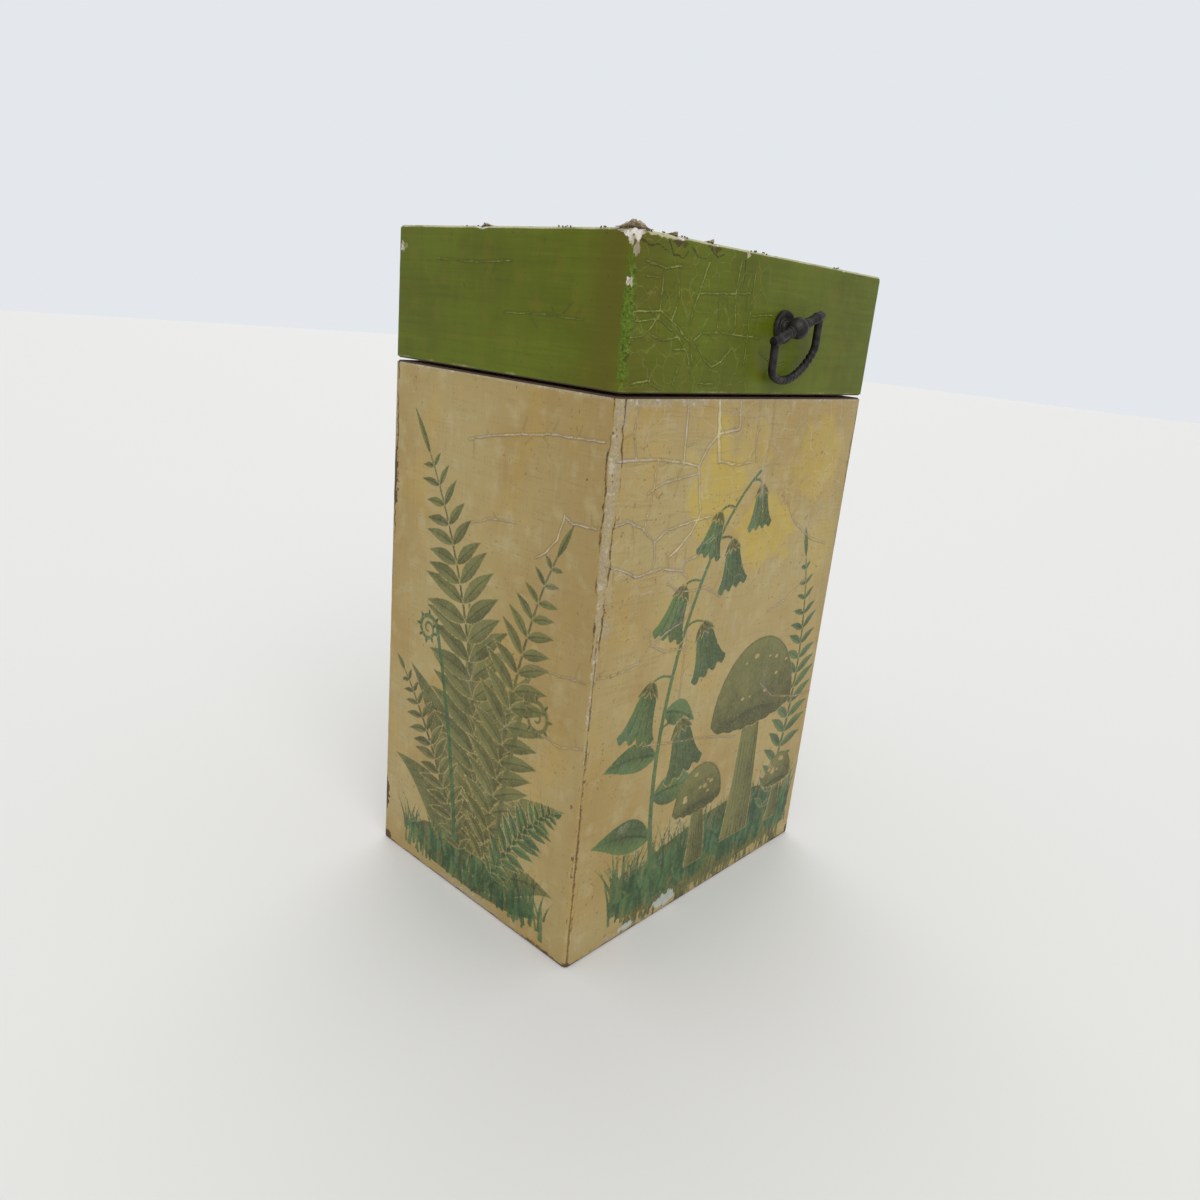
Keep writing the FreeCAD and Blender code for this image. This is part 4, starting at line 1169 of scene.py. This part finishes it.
for line in ([(2.4, 2.6), (6, 3.6), (9, 2.8), (13, 4.2)], [(13, 1.8), (15, 4.6), (19, 5.2), (21, 3.0)],
             [(22, 2.2), (25, 4.4), (29, 4.0)], [(30, 1.8), (33, 3.4), (36, 2.4)],
             [(45.6, 3), (46.4, 6), (45.8, 9)]):
    lidFront.stroke("scar", roughLine(line, np.random.default_rng(5), 0.2), 0.3, 0.12)
coverLid(lidFront, 11)

lidLeft = lidSide("left", [(0.12, 20, 9, 34, 9.5, 52, 9), (0.12, 50, 22, 66, 21.5, 80, 22)],
                  [(38.5, 0.0, 3.4, 0.9), (92, 0.6, 3.2, 1.8), (93.4, 3, 1.0, 1.2), (93.6, 12, 0.8, 1.3),
                   (2.5, 6, 1.0, 1.6), (58, -0.3, 2.0, 0.6)],
                  lambda u, v: 0.1 * ease(u, 60, 90), 0.42, 12)
lidLeft.dabs("edge", 64, (93.9, 21, 1.6, 19, 1.0))
# a thin pale line along the whole top edge: a painted highlight
lidLeft.dabs("rub", 74, (50, 0.3, 44, 0.5, 0.6))
lidLeft.dabs("rub", 65, (3, 6, 2.2, 2.4, 0.5))
lidLeft.atLeast("brown", 0.8 * ease(lidLeft.u, 74, 90) * (1 - ease(lidLeft.u, 91.5, 93.5)))
coverLid(lidLeft, 12)

lidRight = lidSide("right", looseCracks(5, 94, 38, 66), [(3, 0.2, 2.6, 1.2), (60, -0.2, 2.4, 0.7)],
                   lambda u, v: 0.5 * (1 - ease(u, 20, 60)), 0.55, 13)
lidRight.dabs("edge", 67, (1.2, 20, 1.8, 18, 0.8))
coverLid(lidRight, 13)
coverLid(lidSide("back", looseCracks(4, 124, 38, 68), [(30, 0.0, 2.4, 0.8), (122, 0.5, 2.0, 1.6)],
                 lambda u, v: 0.3, 0.6, 14), 14)


def makeLidTop():
    # lies inside the side papers that turn over the edge
    look = lidWear
    low, high = (np.array(corner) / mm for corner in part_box("lid_top_paper"))
    low, high = low + (0.03, 0.03, 0.0), high - (0.03, 0.03, 0.0)
    x, y = np.linspace(low[0], high[0], 190), np.linspace(low[1], high[1], 142)
    sheet = Sheet(x - low[0], high[1] - y, "green")
    u, v = sheet.u, sheet.v
    drawCracks(sheet, looseCracks(12, 116, 86, 69), 70)
    sheet.fields["crackle"] += 0.35 * roughNoise(u, v, 30.0, 71)
    sheet.dabs("rub", 72, (60, 44, 30, 20, 0.3))
    relief = (-look["topBase"] + (roughNoise(u, v, 14.0, 74) - 0.5) * look["topWave"]
              + (roughNoise(u, v, 1.4, 75) - 0.5) * look["topGrain"]
              + ease(sheet.fields["crack"], -0.4, 0.15) * look["topRidge"])
    gridX, gridY = np.meshgrid(x, y)
    outer = np.stack([gridX, gridY, high[2] + np.clip(relief, -0.2, 0.0)], -1)
    inner = np.stack([gridX, gridY, np.full(gridX.shape, low[2] + 0.02)], -1)
    mesh = coverMesh("lid_top_covering", outer, inner, [(0, len(y) - 1, 0, len(x) - 1)], sheet.fields)
    addPiece("lid_top_covering", mesh, "green", "lid", "lid_top_paper")


makeLidTop()
print("lid covered")

# the pull: a ball-headed post through a dished plate, and a stirrup ring with turned sleeves
pullLook = {
    "seat": (6.2, -47.25, 188.8),
    "ballProud": 5.3,
    "plate": 4.7,
    "ball": 3.08,
    "neck": 1.45,
    "shank": 1.2,
    "halfWidth": 11.5,
    "drop": 15.2,
    "corner": 4.0,
    "stock": 1.2,
    "notches": 25.0,
    "notchDepth": 0.27,
    "lean": 11.5,
    "roll": 20.0,
}


def turned(profile, origin, axis, sides=40):
    # points and faces of a lathed form; a profile is a list of (distance along the axis, radius)
    origin, axis = np.array(origin, float), np.array(axis, float)
    across = np.cross(axis, (0, 0, 1.0))
    across /= np.linalg.norm(across)
    turn = np.linspace(0, 2 * math.pi, sides, endpoint=False)[:, None]
    spokes = np.cos(turn) * across + np.sin(turn) * np.cross(axis, across)
    rings = [origin + axis * along + spokes * radius for along, radius in profile]
    points = np.concatenate(rings + [[origin + axis * profile[0][0]], [origin + axis * profile[-1][0]]])
    ids = np.arange(len(profile) * sides).reshape(len(profile), sides)
    right = np.roll(ids, -1, 1)
    faces = np.stack([ids[:-1], right[:-1], right[1:], ids[1:]], -1).reshape(-1, 4).tolist()
    first, last = len(points) - 2, len(points) - 1
    faces += [[int(b), int(a), first] for a, b in zip(ids[0], right[0])]
    faces += [[int(a), int(b), last] for a, b in zip(ids[-1], right[-1])]
    return points, faces


def metalPiece(name, parts, node, body):
    addPiece(name, newMesh(name, *joined(parts), 38, True), "bronze", body, node)


def makeHoop():
    look = pullLook
    half, drop, corner = look["halfWidth"], look["drop"], look["corner"]
    cornerX = half - corner
    cornerZ = -math.sqrt((drop - corner) ** 2 - cornerX ** 2)
    foot = math.atan2(cornerZ, cornerX)
    right = [(half, 0, z) for z in np.linspace(0, cornerZ, 8)[:-1]]
    right += [(cornerX + corner * math.cos(t), 0, cornerZ + corner * math.sin(t)) for t in np.linspace(0, foot, 14)]
    bow = [(drop * math.cos(t), 0, drop * math.sin(t)) for t in np.linspace(foot, -math.pi - foot, 40)]
    path = right + bow[1:-1] + [(-x, y, z) for x, y, z in right[::-1]]

    shape = Shape("notched_hoop")
    stock, sides = shape.given("Stock radius", look["stock"]), shape.given("Sides", 28)
    notches, depth = shape.given("Notches", look["notches"]), shape.given("Notch depth", look["notchDepth"])
    line = shape.add("GeometryNodeResampleCurve", {}, {"Curve": shape.line, "Count": 230})
    line, along = shape.captureFactor(line, "along")
    section = shape.add("GeometryNodeCurvePrimitiveCircle", {}, {"Resolution": sides, "Radius": stock})
    section, around = shape.captureFactor(section, "around")
    hoop = shape.add("GeometryNodeCurveToMesh", {}, {"Curve": line, "Profile Curve": section, "Fill Caps": True})
    # helical notches on the bow, none on the straight arms; the bow is a little fuller
    bowOnly = along.ease(0.2, 0.3) * (1 - along.ease(0.7, 0.8))
    wave = shape.math("SINE", (along * notches + around) * (2 * math.pi)) * 0.5 + 0.5
    push = bowOnly * (0.06 - shape.math("POWER", wave, 2.4) * depth)
    hoop = shape.moved(hoop, shape.vector("SCALE", shape.add("GeometryNodeInputNormal"), push))
    mesh = shape.bake(hoop, path, "ring_hoop", finishes["bronze"])
    return [tuple(vertex.co) for vertex in mesh.vertices], [list(polygon.vertices) for polygon in mesh.polygons]


def makePull():
    look = pullLook
    seat, plate, ball, shank, neck = (look[key] for key in ("seat", "plate", "ball", "shank", "neck"))
    dish = [(0.0, plate), (1.0, plate - 0.02), (1.25, plate - 0.22), (1.3, plate - 0.5), (1.18, plate - 0.78),
            (0.82, plate - 1.0), (0.66, plate - 1.4), (0.6, 2.6), (0.82, 2.35), (0.9, 2.1), (0.72, 1.95), (0.7, 1.0)]
    metalPiece("pull_plate", [turned(dish, seat, (0, -1, 0), 64)], "pull_backplate", "lid")
    post = [(-11.05, shank - 0.3), (-10.75, shank), (0.7, shank), (0.7, 1.9), (0.95, 2.0), (1.2, 1.9),
            (1.35, 1.62), (1.6, neck)]
    post += [(look["ballProud"] - ball * math.cos(t), max(ball * math.sin(t), 0.001))
             for t in np.linspace(math.asin(neck / ball), math.pi, 26)]
    metalPiece("pull_ball_post", [turned(post, seat, (0, -1, 0), 48)], "pull_post", "lid")

    beads = [(0.2, 1.3), (0.24, 1.58), (0.5, 1.7), (1.0, 1.7), (1.25, 1.56), (1.35, 1.32), (1.55, 1.3),
             (1.68, 1.45), (2.0, 1.52), (2.3, 1.42), (2.4, 1.22), (2.6, 1.22), (2.8, 1.38)]
    sleeve = [(ball + along, radius) for along, radius in beads]
    sleeve += [(9.4, 1.44), (9.6, 1.56), (10.0, 1.62), (10.3, 1.5), (10.45, 1.4), (12.3, 1.42), (12.6, 1.3),
               (12.7, 1.0)]
    parts = [makeHoop()]
    for side in (-1, 1):
        parts.append(turned(sleeve, (0, 0, 0), (side, 0, 0)))
        parts.append(turned([(ball - 1.6, 0.78), (ball + 0.6, 0.78)], (0, 0, 0), (side, 0, 0), 20))
    turn = Matrix.Rotation(-math.radians(look["roll"]), 3, "Y") @ Matrix.Rotation(math.radians(look["lean"]), 3, "X")
    turn = np.array(turn)
    centre = np.array(seat) - (0, look["ballProud"], 0)
    ring = [(np.array(points) @ turn.T + centre, faces) for points, faces in parts]
    metalPiece("ring_pull", ring, "pull_ring", "ring")


makePull()
print("ring pull made")


def curledFlap(tip, inward, aside, reach, half, lift, seed):
    # a scrap of paper that is still glued along one side and stands up at its tip
    t, w = np.linspace(0, 1, 12)[:, None], np.linspace(-1, 1, 17)
    ragged = np.random.default_rng(seed).uniform(0.8, 1.15, len(w))
    back = reach * 0.86 * (1 - t * (1 - np.abs(w) ** 1.5 * 0.75) * ragged)
    beside = half * w * (1 - 0.25 * t)
    flat = back[..., None] * np.array(inward) + beside[..., None] * np.array(aside) + tip
    rise = lift * (1 - np.abs(w) ** 1.6) * ragged * t ** 1.5 + 0.06 * np.sin(w * 9 + t * 3) * t
    top = np.concatenate([flat, (boxLook["lidTop"] + 0.05 + rise.clip(0))[..., None]], -1)
    return foldSheet(top, top - (0, 0, tornLook["thick"]))[:2]


def makeTear():
    x, y = tornLook["corner"]
    slope = math.sqrt(0.5)
    size = tornLook["reach"], tornLook["half"], tornLook["lift"]
    flaps = [curledFlap((x + 0.7, y + 0.7), (slope, slope), (slope, -slope), *size, 1),
             curledFlap((x + 16, y + 0.5), (0, 1), (1, 0), 2.0, 2.4, 0.8, 2),
             curledFlap((x + 31, y + 0.5), (0, 1), (1, 0), 1.7, 2.0, 0.7, 3),
             curledFlap((x + 0.5, y + 55), (1, 0), (0, -1), 1.6, 2.4, 0.6, 4)]
    mesh = newMesh("torn_paper", *joined(flaps), 50, True)
    addPiece("torn_paper", mesh, "torn", "lid")


def makeCrumbs():
    # strewn along the front and the left top edges, in clusters
    (x, y), z = tornLook["corner"], boxLook["lidTop"] - 0.12
    path = [(x + 0.4, 40, z), (x + 0.35, -44, z), (x + 2.2, y + 0.55, z), (x + 60, y + 0.35, z), (60, y + 0.35, z)]
    shape = Shape("edge_crumbs")
    count, size = shape.given("Crumbs", tornLook["crumbs"]), shape.given("Size", tornLook["crumbSize"])
    seed = shape.given("Seed", 7)

    def between(low, high, salt):
        return shape.add("FunctionNodeRandomValue", {"data_type": "FLOAT_VECTOR"}, {0: low, 1: high, "Seed": salt})

    spots = shape.add("GeometryNodeCurveToPoints", {}, {"Curve": shape.line, "Count": count})
    cluster = shape.add("ShaderNodeTexNoise", {}, {"Scale": 0.09, "Detail": 3.0})
    thin = shape.add("FunctionNodeCompare", {"data_type": "FLOAT", "operation": "LESS_THAN"}, {0: cluster, 1: 0.55})
    spots = shape.add("GeometryNodeDeleteGeometry", {"domain": "POINT"}, {"Geometry": spots, "Selection": thin})
    spots = shape.moved(spots, between((-0.3, -0.2, -0.15), (0.3, 0.3, 0.12), seed))
    grain = shape.add("GeometryNodeMeshIcoSphere", {}, {"Radius": size, "Subdivisions": 2})
    lump = shape.add("ShaderNodeTexNoise", {}, {"Scale": 3.0}, out="Color")
    lump = shape.vector("SCALE", shape.vector("SUBTRACT", lump, (0.5, 0.5, 0.5)), 0.5)
    strewn = shape.add("GeometryNodeInstanceOnPoints", {}, {
        "Points": spots, "Instance": shape.moved(grain, lump),
        "Rotation": between((0, 0, 0), (6.28, 0.5, 6.28), seed + 1),
        "Scale": between((0.5, 0.4, 0.25), (1.6, 0.9, 0.8), seed + 2)})
    mesh = shape.bake(strewn, path, "edge_crumbs", finishes["crumbs"])
    mesh.transform(Matrix.Scale(mm, 4))
    mesh.polygons.foreach_set("use_smooth", np.ones(len(mesh.polygons), bool))
    addPiece("edge_crumbs", mesh, "crumbs", "lid")


makeTear()
makeCrumbs()
print("torn corner and crumbs made")

# the stage: floor, sky, lights and camera; the camera was solved from the photo
stageLook = {
    "floor": (216, 216, 214),
    "floorRoughness": 0.75,
    "horizon": (0.92, 0.96, 1.0, 1.0),
    "backdrop": 0.84,
    "sky": 0.8,
    "key": 1.15,
    "keyWay": (0.45, 0.6, -0.67),
    "rear": 0.6,
    "rearWay": (-0.5, -0.5, -0.7),
    "softness": 50.0,
    "lens": 27.49,
    "cameraPlace": (-0.23291, -0.19946, 0.18700),
    "cameraAhead": (0.71353, 0.63557, -0.29484),
    "cameraAside": (0.6831, -0.7247, 0.0910),
}


def makeStage():
    look = stageLook
    floorMesh = bpy.data.meshes.new("floor")
    form = bmesh.new()
    bmesh.ops.create_grid(form, x_segments=1, y_segments=1, size=4.0)
    form.to_mesh(floorMesh)
    form.free()
    f = Finish("pale_floor", look)
    f.colour = screenColour(*look["floor"])
    floorMesh.materials.append(f.done(look["floorRoughness"]))
    placed("floor", floorMesh)

    world = bpy.context.scene.world or bpy.data.worlds.new("sky")
    bpy.context.scene.world = world
    world.use_nodes = True
    world.node_tree.nodes.clear()
    sky = Graph(world.node_tree)
    camera, glass, mirror = (sky.add("ShaderNodeLightPath", out="Is " + kind + " Ray")
                             for kind in ("Camera", "Transmission", "Glossy"))
    light = sky.add("ShaderNodeBackground", {}, {"Color": (1.0, 1.0, 1.0, 1.0), "Strength": look["sky"]})
    view = sky.add("ShaderNodeBackground", {}, {"Color": look["horizon"], "Strength": look["backdrop"]})
    seen = camera.larger(glass).larger(mirror)
    sky.add("ShaderNodeOutputWorld", {}, {"Surface": sky.add("ShaderNodeMixShader", {}, {0: seen, 1: light, 2: view})})

    for name in ("key", "rear"):
        lamp = bpy.data.lights.new(name + "_light", "SUN")
        lamp.energy, lamp.angle = look[name], math.radians(look["softness"])
        lampObject = placed(name + "_light", lamp)
        lampObject.rotation_mode = "QUATERNION"
        lampObject.rotation_quaternion = Vector(look[name + "Way"]).to_track_quat("-Z", "Y")


def makeCamera():
    look = stageLook
    lens = bpy.data.cameras.new("photo_camera")
    lens.lens, lens.sensor_width = look["lens"], 36.0
    lens.clip_start, lens.clip_end = 0.005, 20.0
    camera = placed("photo_camera", lens)
    ahead, aside = Vector(look["cameraAhead"]).normalized(), Vector(look["cameraAside"])
    aside = (aside - ahead * aside.dot(ahead)).normalized()
    turn = Matrix((aside, aside.cross(ahead), -ahead)).transposed().to_4x4()
    camera.matrix_world = Matrix.Translation(look["cameraPlace"]) @ turn
    bpy.context.scene.camera = camera


makeStage()
makeCamera()
bpy.context.scene.view_settings.view_transform = "Standard"
print("stage, light and camera ready")
